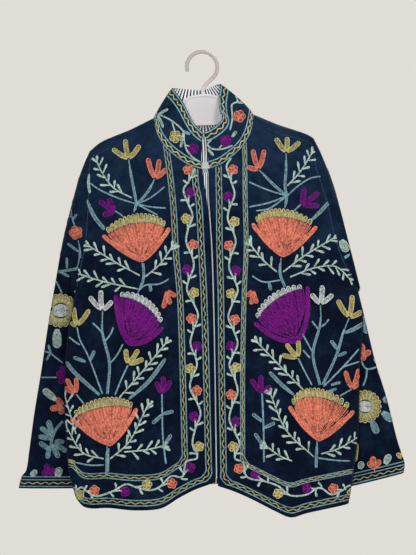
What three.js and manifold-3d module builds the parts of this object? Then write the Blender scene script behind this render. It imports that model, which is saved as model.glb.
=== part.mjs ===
// An embroidered velvet jacket with a stand collar, hanging open-necked on a moulded plastic hanger.
//
// Millimetres, +Z up. The origin is the point under the top of the hanger's hook where it rests on a
// wall hook or rail. The jacket faces -Y, so the wearer's right side is at -X and their left at +X.
// Each cloth piece is a wall of its own: two fronts, back, two sleeves, collar, and the striped
// lining of the back and collar. Pieces meet edge to edge at their seams with a small gap.
import * as THREE from "three";
import { mergeVertices } from "three/addons/utils/BufferGeometryUtils.js";
import Module from "manifold-3d";

const wasm = await Module();
wasm.setup();

// ---------------------------------------------------------------- driving dimensions
const VELVET = 2.5; // thickness of the velvet walls
const LINING = 1.0; // thickness of the striped cotton lining
const SEAM = 0.3; // gap between two pieces that are sewn together
const ARMHOLE_SEAM = 0.45; // the same where a sleeve's slanting edge meets the body
const LINING_GAP = 0.7; // between the velvet and the lining inside it

const FRONT_FULL = 50; // how far the fronts stand forward of the shoulder seam, at most
const BACK_FULL = 14; // the same for the back, which hangs against a wall
const ARCH = 8; // radius of the cloth over the hanger's arm
const FALL = 60; // the drop in which the cloth reaches most of its fullness
const EDGE_POWER = 3; // how square the body's plan section is
const SHOULDER_POWER = 9; // and how square it is at the shoulders, where the hanger fills it
const SIDE_Y = -6; // plane of the side seams
const ARMHOLE_HALF = 24; // half the depth of the armhole's opening, front to back
const NECK_X = 88; // half the width of the neck opening
const UNDERARM_Z = -408;

const SEAM_BLUE = 0x14202f;
const CREAM = 0xe4d9d6;

// Half-height of the shoulder seam: how low it is at each distance from the middle.
const SHOULDER = [
  { x: 0, z: -72 },
  { x: 88, z: -110 },
  { x: 130, z: -129 },
  { x: 160, z: -140 },
  { x: 180, z: -148 },
  { x: 192, z: -156 },
  { x: 202, z: -165 },
];

// The body's edge: the armhole seam down to the underarm, and the side seam below it.
const BODY_EDGE = [
  { z: -160, right: -201, left: 191 },
  { z: -210, right: -207, left: 197 },
  { z: -260, right: -210, left: 211 },
  { z: -330, right: -218, left: 225 },
  { z: -370, right: -228, left: 237 },
  { z: -408, right: -236, left: 254 },
  { z: -440, right: -242, left: 263 },
  { z: -480, right: -251, left: 267 },
  { z: -545, right: -259, left: 260 },
  { z: -600, right: -262, left: 256 },
  { z: -670, right: -261, left: 252 },
  { z: -730, right: -257, left: 243 },
  { z: -780, right: -245, left: 234 },
  { z: -815, right: -237, left: 226 },
];

// The two front edges, which hang a few millimetres apart.
const FRONT_EDGE = [
  { z: -205, right: -6, left: 5.5 },
  { z: -260, right: -5.5, left: 1.5 },
  { z: -430, right: -5.5, left: -1.5 },
  { z: -600, right: -4.5, left: -0.5 },
  { z: -750, right: -2, left: 3 },
];

const NECK_FRONT = [
  { x: 5, z: -205 },
  { x: 27, z: -198 },
  { x: 44, z: -187 },
  { x: 60, z: -174 },
  { x: 72, z: -160 },
  { x: 80, z: -146 },
  { x: 85, z: -130 },
  { x: NECK_X, z: -110 },
];
const NECK_BACK = [
  { x: 0, z: -122 },
  { x: 30, z: -121 },
  { x: 60, z: -118 },
  { x: 80, z: -114 },
  { x: NECK_X, z: -110 },
];

const HEM_RIGHT = [
  { x: -250, z: -768 },
  { x: -232, z: -786 },
  { x: -188, z: -787 },
  { x: -141, z: -792 },
  { x: -97, z: -790 },
  { x: -65, z: -773 },
  { x: -38, z: -760 },
  { x: -2, z: -748 },
];
const HEM_LEFT = [
  { x: 3, z: -755 },
  { x: 27, z: -764 },
  { x: 58, z: -779 },
  { x: 101, z: -802 },
  { x: 127, z: -813 },
  { x: 153, z: -808 },
  { x: 188, z: -803 },
  { x: 232, z: -797 },
];
const HEM_BACK = [
  { x: -247, z: -774 },
  { x: -150, z: -768 },
  { x: 0, z: -756 },
  { x: 120, z: -772 },
  { x: 232, z: -797 },
];

// Soft upright folds: where each one's middle is, how wide it is, where it begins and how far it
// stands out of the cloth at the hem. A fold with a negative depth is a trough.
const FRONT_FOLDS = [
  { x: -168, width: 62, top: -300, depth: 11 },
  { x: -62, width: 48, top: -420, depth: -8 },
  { x: 48, width: 46, top: -450, depth: -9 },
  { x: 126, width: 52, top: -330, depth: 13 },
  { x: 205, width: 36, top: -480, depth: -6 },
];
const BACK_FOLDS = [
  { x: -130, width: 60, top: -260, depth: 10 },
  { x: -20, width: 52, top: -340, depth: -8 },
  { x: 88, width: 58, top: -300, depth: 9 },
];

// One row for each ring of a sleeve, from the sleeve head to the cuff: where its outer and inner
// edges are, and half its thickness. Every ring lies across the sleeve.
const SLEEVE_RIGHT = [
  { outX: -210, outY: 0, outZ: -180, inX: -238.5, inY: -3, inZ: -411, half: 25 },
  { outX: -221, outY: 1, outZ: -206, inX: -240.5, inY: 1, inZ: -414, half: 25 },
  { outX: -236, outY: 3, outZ: -252, inX: -243, inY: 8, inZ: -418, half: 24 },
  { outX: -255, outY: 6, outZ: -319, inX: -243, inY: 22, inZ: -426, half: 22 },
  { outX: -270, outY: 9, outZ: -388, inX: -236, inY: 36, inZ: -446, half: 19 },
  { outX: -287, outY: 11, outZ: -470, inX: -217, inY: 47, inZ: -492, half: 17 },
  { outX: -301, outY: 12, outZ: -545, inX: -207, inY: 50, inZ: -563, half: 16 },
  { outX: -316, outY: 12, outZ: -620, inX: -206, inY: 49, inZ: -634, half: 15 },
  { outX: -328, outY: 12, outZ: -690, inX: -212, inY: 47, inZ: -702, half: 14 },
  { outX: -334, outY: 12, outZ: -721, inX: -218, inY: 45, inZ: -733, half: 13 },
  { outX: -342, outY: 12, outZ: -731, inX: -221, inY: 43, inZ: -742, half: 14 },
  { outX: -348, outY: 12, outZ: -751, inX: -224, inY: 41, inZ: -757, half: 14 },
];
const SLEEVE_LEFT = [
  { outX: 201, outY: 0, outZ: -176, inX: 257.5, inY: -2, inZ: -410, half: 25 },
  { outX: 211, outY: 1, outZ: -202, inX: 260.5, inY: 2, inZ: -412, half: 25 },
  { outX: 225, outY: 3, outZ: -244, inX: 262.5, inY: 9, inZ: -416, half: 24 },
  { outX: 239, outY: 6, outZ: -319, inX: 264, inY: 24, inZ: -423, half: 22 },
  { outX: 254, outY: 9, outZ: -395, inX: 254, inY: 39, inZ: -446, half: 19 },
  { outX: 271, outY: 11, outZ: -475, inX: 232, inY: 49, inZ: -495, half: 17 },
  { outX: 287, outY: 12, outZ: -552, inX: 214, inY: 51, inZ: -566, half: 16 },
  { outX: 304, outY: 12, outZ: -614, inX: 206, inY: 50, inZ: -634, half: 15 },
  { outX: 320, outY: 12, outZ: -688, inX: 206, inY: 48, inZ: -708, half: 14 },
  { outX: 329, outY: 12, outZ: -720, inX: 210, inY: 46, inZ: -742, half: 13 },
  { outX: 332, outY: 12, outZ: -731, inX: 211, inY: 44, inZ: -755, half: 14 },
  { outX: 330, outY: 12, outZ: -748, inX: 212, inY: 42, inZ: -775, half: 14 },
];

// The collar's upper edge, from the front to the middle of the back. Each row stands above the row
// of the neck seam with the same number: NECK_FRONT's rows and then NECK_BACK's from the side in.
const COLLAR_TOP_RIGHT = [
  { x: -5, y: -57, z: -143 },
  { x: -12, y: -56, z: -134 },
  { x: -21, y: -51, z: -120 },
  { x: -28, y: -43, z: -104 },
  { x: -35, y: -33, z: -88 },
  { x: -42, y: -22, z: -76 },
  { x: -49, y: -10, z: -66 },
  { x: -54, y: 2, z: -59 },
  { x: -51, y: 11, z: -58.5 },
  { x: -40, y: 17, z: -60 },
  { x: -22, y: 21, z: -62 },
  { x: -3, y: 22, z: -64 },
];
const COLLAR_TOP_LEFT = [
  { x: 3, y: -57, z: -142 },
  { x: 10, y: -57, z: -138 },
  { x: 20, y: -53, z: -131 },
  { x: 31, y: -46, z: -121 },
  { x: 34, y: -36, z: -111 },
  { x: 29, y: -25, z: -99 },
  { x: 28, y: -12, z: -80 },
  { x: 32, y: 1, z: -57 },
  { x: 30, y: 11, z: -54 },
  { x: 22, y: 17, z: -56 },
  { x: 11, y: 21, z: -61 },
  { x: -3, y: 22, z: -64 },
];
const COLLAR_BULGE = { right: 2, left: 5 }; // how far the collar's side stands out between its edges

const HOOK_RADIUS = 27; // of the hook's centreline
const HOOK_TUBE = 3.4; // half the hook's own thickness
const HANGER_RIM = 6.4; // front-to-back depth of the hanger's rim
const HANGER_WEB = 3; // and of the sheet inside it
const RIM_WIDTH = 4;
const ARM_REACH = 160; // half the hanger's length
const ARM_HEIGHT = 15;
const ARM_CLEAR = 2.4; // room between the cloth over an arm and the arm's flat top
const NECK_CLEAR = 4; // more room where the collar crosses the arms
const CLASP_THICK = 1.8;

// ---------------------------------------------------------------- small helpers
const clamp = (v, low, high) => Math.min(high, Math.max(low, v));
const mix = (a, b, f) => a + (b - a) * f;
const smooth = (v) => v * v * (3 - 2 * v);

// A smooth curve through a table's rows: the value of one column where another column is `at`.
function along(table, by, column, at) {
  const rows = table[0][by] < table[table.length - 1][by] ? table : [...table].reverse();
  const last = rows.length - 1;
  const v = clamp(at, rows[0][by], rows[last][by]);
  let i = 0;
  while (i < last - 1 && rows[i + 1][by] <= v) i++;
  const slope = (k) => {
    const a = rows[Math.max(0, k - 1)];
    const b = rows[Math.min(last, k + 1)];
    return (b[column] - a[column]) / (b[by] - a[by]);
  };
  const step = rows[i + 1][by] - rows[i][by];
  const f = (v - rows[i][by]) / step;
  const h = f * f * (3 - 2 * f);
  return (
    mix(rows[i][column], rows[i + 1][column], h) +
    step * (slope(i) * f * (1 - f) * (1 - f) - slope(i + 1) * f * f * (1 - f))
  );
}

// A closed wall from a grid of points on its outer face, rows by columns. The inner face lies
// `thick` behind it, on the side that `facing` gives. A looped wall joins its last column to its first.
function wall(grid, thick, { facing, looped = false, offset = 0, normalAt = null, keep = (p) => p }) {
  const rows = grid.length;
  const cols = grid[0].length;
  const column = (j) => (looped ? (j + cols) % cols : clamp(j, 0, cols - 1));
  const points = [];
  for (const depth of [offset, offset + thick]) {
    for (let i = 0; i < rows; i++) {
      for (let j = 0; j < cols; j++) {
        const across = grid[i][column(j + 1)].clone().sub(grid[i][column(j - 1)]);
        const down = grid[Math.min(rows - 1, i + 1)][j].clone().sub(grid[Math.max(0, i - 1)][j]);
        let normal = down.cross(across).normalize().multiplyScalar(facing);
        if (normalAt) normal = normalAt(i, j, normal);
        points.push(keep(grid[i][j].clone().addScaledVector(normal, -depth)));
      }
    }
  }
  const inner = rows * cols;
  const index = [];
  const quad = (a, b, c, d) => index.push(a, b, c, a, c, d);
  const spans = looped ? cols : cols - 1;
  for (let j = 0; j < spans; j++) {
    const k = (j + 1) % cols;
    for (let i = 0; i < rows - 1; i++) {
      const [a, b, c, d] = [i * cols + j, i * cols + k, (i + 1) * cols + k, (i + 1) * cols + j];
      quad(a, b, c, d);
      quad(inner + a, inner + d, inner + c, inner + b);
    }
    const end = (rows - 1) * cols;
    quad(j, inner + j, inner + k, k);
    quad(end + j, end + k, inner + end + k, inner + end + j);
  }
  for (let i = 0; !looped && i < rows - 1; i++) {
    const [a, b] = [i * cols, (i + 1) * cols];
    quad(a, b, inner + b, inner + a);
    const [c, d] = [a + cols - 1, b + cols - 1];
    quad(c, inner + c, inner + d, d);
  }
  if (facing > 0) index.reverse();
  const geometry = new THREE.BufferGeometry().setFromPoints(points);
  geometry.setIndex(index);
  geometry.computeVertexNormals();
  return geometry;
}

function solid(geometry) {
  const bare = new THREE.BufferGeometry().setAttribute("position", geometry.getAttribute("position"));
  bare.setIndex(geometry.index);
  const merged = mergeVertices(bare, 1e-3);
  return new wasm.Manifold(
    new wasm.Mesh({
      numProp: 3,
      vertProperties: new Float32Array(merged.attributes.position.array),
      triVerts: new Uint32Array(merged.index.array),
    }),
  );
}

function geometryOf(manifold) {
  const mesh = manifold.getMesh();
  const geometry = new THREE.BufferGeometry();
  geometry.setAttribute("position", new THREE.BufferAttribute(mesh.vertProperties, 3));
  geometry.setIndex(new THREE.BufferAttribute(mesh.triVerts, 1));
  geometry.computeVertexNormals();
  return geometry;
}

// An outline in X and Z, extruded front to back about the plane y.
function slab(shape, depth, y = 0) {
  return new THREE.ExtrudeGeometry(shape, { depth, bevelEnabled: false, curveSegments: 4 })
    .rotateX(Math.PI / 2)
    .translate(0, y + depth / 2, 0);
}

// ---------------------------------------------------------------- the body's form
const shoulderZ = (x) => along(SHOULDER, "x", "z", Math.abs(x));
const edgeX = (side, z) => along(BODY_EDGE, "z", side, z);
const sideOf = (x) => (x < 0 ? "right" : "left");

function foldsAt(folds, x, z) {
  let out = 0;
  for (const f of folds) {
    const across = clamp(1 - Math.abs(x - f.x) / f.width, 0, 1);
    out += f.depth * smooth(across) * smooth(clamp((f.top - z) / 420, 0, 1));
  }
  return out;
}

// Where the body's edge is from front to back: its seam plane, half the armhole's opening, and the
// gentler swell that the panel takes from the armhole.
function edgeDepth(side, z) {
  const tip = shoulderZ(edgeX(side, -160));
  const f = clamp((tip - z) / (tip - UNDERARM_Z), 0, 1);
  const half = ARMHOLE_HALF * Math.sqrt(Math.max(0, 1 - (2 * f - 1) ** 2)) ** 0.9;
  return { middle: SIDE_Y * f, half, swell: ARMHOLE_HALF * Math.sin(Math.PI * f) ** 1.5 };
}

// The outer face of the fronts (forward = -1) or of the back (forward = 1), as y over x and z.
function bodyY(forward, x, z) {
  const side = sideOf(x);
  const drop = Math.max(0, shoulderZ(x) - z);
  const full = forward < 0 ? FRONT_FULL : BACK_FULL;
  const overArm = ARCH * Math.sqrt(1 - (1 - Math.min(drop / ARCH, 1)) ** 2);
  const out = overArm + full * (1 - Math.exp(-drop / FALL));
  const { middle, half, swell } = edgeDepth(side, z);
  const t = clamp(x / edgeX(side, z), 0, 1);
  const edge = forward * middle + mix(swell, half, t ** 22);
  const round = mix(1, 0.5, smooth(clamp((-300 - z) / 130, 0, 1)));
  const power = mix(SHOULDER_POWER, EDGE_POWER, smooth(clamp(drop / 120, 0, 1)));
  const share = Math.pow(1 - t ** power, round);
  const folds = foldsAt(forward < 0 ? FRONT_FOLDS : BACK_FOLDS, x, z) * (1 - t ** 4);
  return forward * (edge + (out - edge) * share + folds);
}

const ROWS_BY_DROP = [0, 1.2, 3.6, 8, 20, 45]; // near the shoulder, by distance below the top edge
const ROWS_ABOVE = [0.3, 0.6, 0.85, 0.97, 1]; // then shares of the way to the underarm
const ROWS_BELOW = [0.18, 0.37, 0.57, 0.77, 0.9, 0.96, 1]; // and of the way on to the hem
const NECK_COLUMNS = [27, 44, 60, 72, 80, 85];
const SHOULDER_COLUMNS = [104, 124, 146, 168];
const SIDE_COLUMNS = [0.94, 0.985, 1];

// The grid of one side of the body, from its inner column to its edge.
function bodyGrid(side, forward, inner, topZ, hemZ) {
  const sign = side === "right" ? -1 : 1;
  const top = Math.abs(edgeX(side, -160));
  const start = inner(-205) * sign;
  const shares = [...NECK_COLUMNS, NECK_X, ...SHOULDER_COLUMNS].map((x) => (x - start) / (top - start));
  const columns = [0, ...shares, ...SIDE_COLUMNS];
  const at = (share, z) => mix(inner(z), edgeX(side, z), share);
  const settle = (share, line) => {
    let z = line(at(share, -200));
    for (let k = 0; k < 12; k++) z = line(at(share, z));
    return z;
  };
  const tops = columns.map((share) => settle(share, topZ));
  const hems = columns.map((share) => settle(share, hemZ));
  const lastDrop = ROWS_BY_DROP[ROWS_BY_DROP.length - 1];
  const point = (k, z) => {
    const x = at(columns[k], z);
    return new THREE.Vector3(x, bodyY(forward, x, z) + (forward * SEAM) / 2, z);
  };
  return [
    ...ROWS_BY_DROP.map((drop) => columns.map((_, k) => point(k, tops[k] - drop))),
    ...ROWS_ABOVE.map((share) => columns.map((_, k) => point(k, mix(tops[k] - lastDrop, UNDERARM_Z, share)))),
    ...ROWS_BELOW.map((share) => columns.map((_, k) => point(k, mix(UNDERARM_Z, hems[k], share)))),
  ];
}

// At the shoulder seam a panel's edge faces straight up, at the side seam straight out, and at the
// armhole it lies across the panel, so that two pieces' edges meet squarely.
const across = (normal) => new THREE.Vector3(0, normal.y, normal.z).normalize();
function seamNormal(grid, shoulderFrom, edgeColumns) {
  return (i, j, normal) => {
    const { x, z } = grid[i][j];
    if (i === 0 && Math.abs(x) >= shoulderFrom) return new THREE.Vector3(0, 0, 1);
    if (!edgeColumns.includes(j)) return normal;
    return z <= UNDERARM_Z ? new THREE.Vector3(Math.sign(x), 0, 0) : across(normal);
  };
}

// Neither panel crosses the seam's plane, which leans forward from the shoulder to the underarm.
function ownSide(forward) {
  return (p) => {
    const plane = edgeDepth(sideOf(p.x), p.z).middle + (forward * SEAM) / 2;
    p.y = forward < 0 ? Math.min(p.y, plane) : Math.max(p.y, plane);
    return p;
  };
}

const frontTop = (x) => (Math.abs(x) < NECK_X ? along(NECK_FRONT, "x", "z", Math.abs(x)) : shoulderZ(x));
const backTop = (x) => (Math.abs(x) < NECK_X ? along(NECK_BACK, "x", "z", Math.abs(x)) : shoulderZ(x));

function front(side) {
  const hem = side === "right" ? HEM_RIGHT : HEM_LEFT;
  const inner = (z) => along(FRONT_EDGE, "z", side, z);
  const grid = bodyGrid(side, -1, inner, frontTop, (x) => along(hem, "x", "z", x));
  const edge = grid[0].length - 1;
  return wall(grid, VELVET, {
    facing: side === "right" ? -1 : 1,
    normalAt: seamNormal(grid, NECK_X + 1, [edge]),
    keep: ownSide(-1),
  });
}

// The back's grid: the wearer's right side, the middle, and the wearer's left side.
function backGrid() {
  const hem = (x) => along(HEM_BACK, "x", "z", x);
  const right = bodyGrid("right", 1, () => 0, backTop, hem);
  const left = bodyGrid("left", 1, () => 0, backTop, hem);
  return right.map((row, i) => [...row.slice(1).reverse(), ...left[i]]);
}

function back() {
  const grid = backGrid();
  return wall(grid, VELVET, {
    facing: -1,
    normalAt: seamNormal(grid, NECK_X + 1, [0, grid[0].length - 1]),
    keep: ownSide(1),
  });
}

// The back lining lies inside the back, from beside the hanger's arms, and stops short of the side
// seams and the hem.
function backLining() {
  const firstRow = ROWS_BY_DROP.indexOf(8);
  const grid = backGrid()
    .slice(firstRow, -1)
    .map((row) => row.slice(SIDE_COLUMNS.length, -SIDE_COLUMNS.length));
  return wall(grid, LINING, { facing: -1, offset: VELVET + LINING_GAP });
}

// ---------------------------------------------------------------- sleeves

// A sleeve's rings have a point for each row of the armhole's two edges: down the front's edge and
// up the back's.
function sleeve(side) {
  const table = side === "right" ? SLEEVE_RIGHT : SLEEVE_LEFT;
  const sign = side === "right" ? -1 : 1;
  const tip = shoulderZ(edgeX(side, -160));
  const drops = [
    ...ROWS_BY_DROP.map((drop) => tip - drop),
    ...ROWS_ABOVE.map((share) => mix(tip - ROWS_BY_DROP[ROWS_BY_DROP.length - 1], UNDERARM_Z, share)),
  ];
  const turns = drops.map((z) => Math.acos(1 - (2 * (tip - z)) / (tip - UNDERARM_Z)));
  const round = [...turns, ...turns.slice(1, -1).reverse().map((turn) => 2 * Math.PI - turn)];
  const armhole = round.map((turn) => {
    const z = mix(tip, UNDERARM_Z, (1 - Math.cos(turn)) / 2);
    const { middle, half } = edgeDepth(side, z);
    return new THREE.Vector3(edgeX(side, z) + sign * ARMHOLE_SEAM, middle - Math.sign(Math.sin(turn)) * half, z);
  });
  const rings = table.map((r) =>
    round.map((turn) => {
      const f = (1 - Math.cos(turn)) / 2;
      const thick = Math.sign(Math.sin(turn)) * Math.abs(Math.sin(turn)) ** 0.9 * r.half;
      return new THREE.Vector3(mix(r.outX, r.inX, f), mix(r.outY, r.inY, f) - thick, mix(r.outZ, r.inZ, f));
    }),
  );
  return wall([armhole, ...rings], VELVET, {
    facing: side === "right" ? 1 : -1,
    looped: true,
    normalAt: (i, j, normal) => (i === 0 ? across(normal) : normal),
  });
}

// ---------------------------------------------------------------- collar
const COLLAR_ROWS = [0, 0.3, 0.65, 1];

function collarGrid() {
  const seam = [...NECK_FRONT, ...[...NECK_BACK].reverse().slice(1)];
  const half = (side) => {
    const sign = side === "right" ? -1 : 1;
    const tops = side === "right" ? COLLAR_TOP_RIGHT : COLLAR_TOP_LEFT;
    return seam.map(({ x, z }, k) => {
      const forward = k < NECK_FRONT.length ? -1 : 1;
      const edge = k === 0 ? along(FRONT_EDGE, "z", side, z) : sign * x;
      const base = new THREE.Vector3(edge, bodyY(forward, edge, z), z);
      base.x -= (sign * 4 * SEAM * x) / NECK_X;
      base.z += 3 * SEAM;
      const top = new THREE.Vector3(tops[k].x, tops[k].y, tops[k].z);
      const out = new THREE.Vector3(base.x, base.y * 0.6, 0).normalize();
      return COLLAR_ROWS.map((h) =>
        base.clone().lerp(top, h).addScaledVector(out, COLLAR_BULGE[side] * 4 * h * (1 - h) * (x / NECK_X)),
      );
    });
  };
  const columns = [...half("right"), ...half("left").slice(0, -1).reverse()];
  return COLLAR_ROWS.map((_, row) => columns.map((c) => c[row]));
}

const collar = () => wall(collarGrid(), VELVET, { facing: 1 });
const collarLining = () => wall(collarGrid(), LINING, { facing: 1, offset: VELVET + LINING_GAP });

// ---------------------------------------------------------------- fastener
// A hook plate and the bar that it holds, lying on the collar's lower corners across the front gap.
function claspPiece(width, low, high) {
  const foot = NECK_FRONT[0].z;
  const rise = (high - foot) / (COLLAR_TOP_RIGHT[0].z - foot);
  const y = mix(bodyY(-1, -6, foot), COLLAR_TOP_RIGHT[0].y, rise) - 2 * SEAM - CLASP_THICK / 2;
  const shape = new THREE.Shape();
  const r = (high - low) / 3;
  shape.moveTo(-width / 2 + r, low);
  shape.absarc(width / 2 - r, low + r, r, -Math.PI / 2, 0);
  shape.absarc(width / 2 - r, high - r, r, 0, Math.PI / 2);
  shape.absarc(-width / 2 + r, high - r, r, Math.PI / 2, Math.PI);
  shape.absarc(-width / 2 + r, low + r, r, Math.PI, 1.5 * Math.PI);
  return slab(shape, CLASP_THICK, y);
}

// ---------------------------------------------------------------- hanger
// Half the outline of the hanger's body, from its middle to the end of one arm and back underneath.
function hangerOutline(inset) {
  const clear = (x) => ARM_CLEAR + NECK_CLEAR * (1 - smooth(clamp((x - 95) / 25, 0, 1)));
  const top = (x) => (x <= 34 ? mix(-71, -78, (x / 34) ** 2) : Math.min(-78, shoulderZ(x) - VELVET - clear(x)));
  const bottom = (x) => (x <= 34 ? -126 : Math.min(-126, shoulderZ(x) - VELVET - ARM_HEIGHT));
  const reach = ARM_REACH - inset;
  const xs = [0, 12, 24, 34, 48, 68, 88, 104, 124, 142, reach - 5];
  const upper = xs.map((x) => [x, top(x) - inset]);
  const end = [[reach, (top(reach) + bottom(reach)) / 2]];
  const lower = [...xs].reverse().map((x) => [x, bottom(x) + inset]);
  const half = [...upper, ...end, ...lower];
  const other = half.slice(1, -1).reverse().map(([x, z]) => [-x, z]);
  return new THREE.Shape([...half, ...other].map(([x, z]) => new THREE.Vector2(x, z)));
}

function hanger() {
  const rim = solid(slab(hangerOutline(0), HANGER_RIM)).subtract(
    solid(slab(hangerOutline(RIM_WIDTH), HANGER_RIM + 2)),
  );
  const web = solid(slab(hangerOutline(RIM_WIDTH / 2), HANGER_WEB));
  const centre = HOOK_TUBE - HOOK_RADIUS;
  const turns = [195, 165, 135, 105, 75, 45, 15, -15, -40, -58];
  const curl = turns.map((degrees) => {
    const a = THREE.MathUtils.degToRad(degrees);
    return new THREE.Vector3(HOOK_RADIUS * Math.cos(a), 0, centre + HOOK_RADIUS * Math.sin(a));
  });
  const stem = [
    new THREE.Vector3(4.5, 0, -56),
    new THREE.Vector3(0, 0, -64),
    new THREE.Vector3(0, 0, -76),
  ];
  const path = new THREE.CatmullRomCurve3([...curl, ...stem], false, "centripetal");
  const section = new THREE.Shape();
  section.absarc(0, 0, HOOK_TUBE, 0, 2 * Math.PI);
  const hook = new THREE.ExtrudeGeometry(section, { extrudePath: path, steps: 32, curveSegments: 4 });
  return geometryOf(rim.add(web).add(solid(hook)));
}

// ---------------------------------------------------------------- the object
const velvet = new THREE.MeshStandardMaterial({ color: SEAM_BLUE, roughness: 0.9, metalness: 0 });
const cotton = new THREE.MeshStandardMaterial({ color: 0xbfc3c8, roughness: 0.85, metalness: 0 });
const plastic = new THREE.MeshStandardMaterial({ color: CREAM, roughness: 0.35, metalness: 0 });
const metal = new THREE.MeshStandardMaterial({ color: 0xd9d6d4, roughness: 0.3, metalness: 0.9 });

const jacket = new THREE.Group();
function add(name, geometry, material) {
  const mesh = new THREE.Mesh(geometry, material);
  mesh.name = name;
  jacket.add(mesh);
}

add("front_right", front("right"), velvet);
add("front_left", front("left"), velvet);
add("back", back(), velvet);
add("back_lining", backLining(), cotton);
add("sleeve_right", sleeve("right"), velvet);
add("sleeve_left", sleeve("left"), velvet);
add("collar", collar(), velvet);
add("collar_lining", collarLining(), cotton);
add("clasp_hook", claspPiece(14, -204, -198.5), metal);
add("clasp_bar", claspPiece(11, -198.1, -193), metal);
add("hanger", hanger(), plastic);

export default jacket;
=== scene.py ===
"""An embroidered velvet jacket on a moulded plastic hanger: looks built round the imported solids.

Lengths are in millimetres until a mesh is made. The wearer's right side is at -X; the front faces -Y.
Embroidery is laid out on a flat drawing as seen from the front, then dropped on to the cloth.
"""

import math

import bmesh
import bpy
import numpy as np
from mathutils import Matrix, Vector
from mathutils.bvhtree import BVHTree


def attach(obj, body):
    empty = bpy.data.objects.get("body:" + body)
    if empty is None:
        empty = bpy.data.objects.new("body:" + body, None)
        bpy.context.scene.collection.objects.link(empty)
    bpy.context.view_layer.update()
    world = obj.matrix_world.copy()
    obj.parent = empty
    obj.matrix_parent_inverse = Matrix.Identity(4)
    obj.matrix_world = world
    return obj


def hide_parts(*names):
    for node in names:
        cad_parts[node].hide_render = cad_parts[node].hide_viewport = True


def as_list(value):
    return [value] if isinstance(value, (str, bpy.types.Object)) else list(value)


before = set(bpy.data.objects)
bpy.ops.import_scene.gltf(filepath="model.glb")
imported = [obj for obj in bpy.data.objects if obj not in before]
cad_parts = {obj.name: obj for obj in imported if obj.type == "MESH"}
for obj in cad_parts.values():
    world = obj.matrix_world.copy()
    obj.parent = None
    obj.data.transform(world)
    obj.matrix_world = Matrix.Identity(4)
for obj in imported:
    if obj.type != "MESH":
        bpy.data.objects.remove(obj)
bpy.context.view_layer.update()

# ------------------------------------------------------------------ camera and the drawing's plane
UNIT = 1.75  # millimetres in one unit of the embroidery drawing
TILT = math.radians(2.0)  # the drawing hangs a little askew
DRAW_ORIGIN = (201.5, 53.0)  # the drawing's point that lies at the hook
DRAW_CENTRE = (208.0, 277.5)
DRAW_HEIGHT = 555.0
PLANE_Y = -15.0  # the drawing's plane
EYE_BACK = 5000.0  # from the drawing's plane to the camera


def plane(points):
    """Drawing units to X, Z in the drawing's plane."""
    p = np.asarray(points, float).reshape(-1, 2) - DRAW_ORIGIN
    c, s = math.cos(TILT), math.sin(TILT)
    return np.stack([(p[:, 0] * c - p[:, 1] * s) * UNIT, -(p[:, 0] * s + p[:, 1] * c) * UNIT], 1)


CENTRE = plane([DRAW_CENTRE])[0]
EYE = np.array([CENTRE[0], PLANE_Y - EYE_BACK, CENTRE[1]])


# ------------------------------------------------------------------ small helpers
def unit(v):
    """Vectors of length one."""
    return v / (np.linalg.norm(v, axis=-1, keepdims=True) + 1e-12)


def run_along(p):
    """How far along a line each of its points lies."""
    return np.concatenate([[0], np.cumsum(np.linalg.norm(np.diff(p, axis=0), axis=1))])


def sideways(p):
    """The direction square to a flat line, at each of its points."""
    t = unit(np.gradient(p, axis=0))
    return np.stack([-t[:, 1], t[:, 0]], 1)


def read_off(s, run, values):
    """Rows of values, given at the lengths run, read off at the lengths s."""
    return np.stack([np.interp(s, run, values[:, k]) for k in range(values.shape[1])], 1)


def smooth(v):
    v = np.clip(v, 0, 1)
    return v * v * (3 - 2 * v)


def mix(a, b, f):
    return a + (b - a) * f


def curve(*rows):
    """A smooth function through rows of (where, value), level beyond its ends."""
    t = np.array(sorted(rows), float)
    xs, ys = t[:, 0], t[:, 1]
    lo = np.maximum(np.arange(len(xs)) - 1, 0)
    hi = np.minimum(np.arange(len(xs)) + 1, len(xs) - 1)
    slope = (ys[hi] - ys[lo]) / (xs[hi] - xs[lo])

    def at(v):
        v = np.clip(np.asarray(v, float), xs[0], xs[-1])
        i = np.clip(np.searchsorted(xs, v, side="right") - 1, 0, len(xs) - 2)
        step = xs[i + 1] - xs[i]
        f = (v - xs[i]) / step
        h = f * f * (3 - 2 * f)
        bend = slope[i] * f * (1 - f) ** 2 - slope[i + 1] * f * f * (1 - f)
        return ys[i] + (ys[i + 1] - ys[i]) * h + step * bend

    return at


def through(points, spacing):
    """Evenly spaced points on a smooth curve through the given ones."""
    p = np.asarray(points, float)
    if len(p) == 2:
        n = max(2, int(np.linalg.norm(p[1] - p[0]) / spacing) + 1)
        return p[0] + (p[1] - p[0]) * np.linspace(0, 1, n)[:, None]
    q = np.vstack([2 * p[0] - p[1], p, 2 * p[-1] - p[-2]])
    out = []
    for k in range(1, len(q) - 2):
        a, b, c, d = q[k - 1 : k + 3]
        n = max(3, int(np.linalg.norm(c - b) / spacing * 1.5) + 2)
        f = np.linspace(0, 1, n, endpoint=False)[:, None]
        out.append(0.5 * (2 * b + (c - a) * f + (2 * a - 5 * b + 4 * c - d) * f**2
                          + (3 * b - a - 3 * c + d) * f**3))
    line = np.vstack(out + [q[-2][None]])
    run = run_along(line)
    return read_off(np.linspace(0, run[-1], max(2, int(round(run[-1] / spacing)) + 1)), run, line)


# ------------------------------------------------------------------ the body's form, as the solids have it
CLOTH, LINING = 2.2, 0.8  # walls
RIM_ROUND = 0.35  # how far a cut edge rounds out, as a share of its wall
PROUD = 0.08  # the cloth stands this far outside its solid
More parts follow.
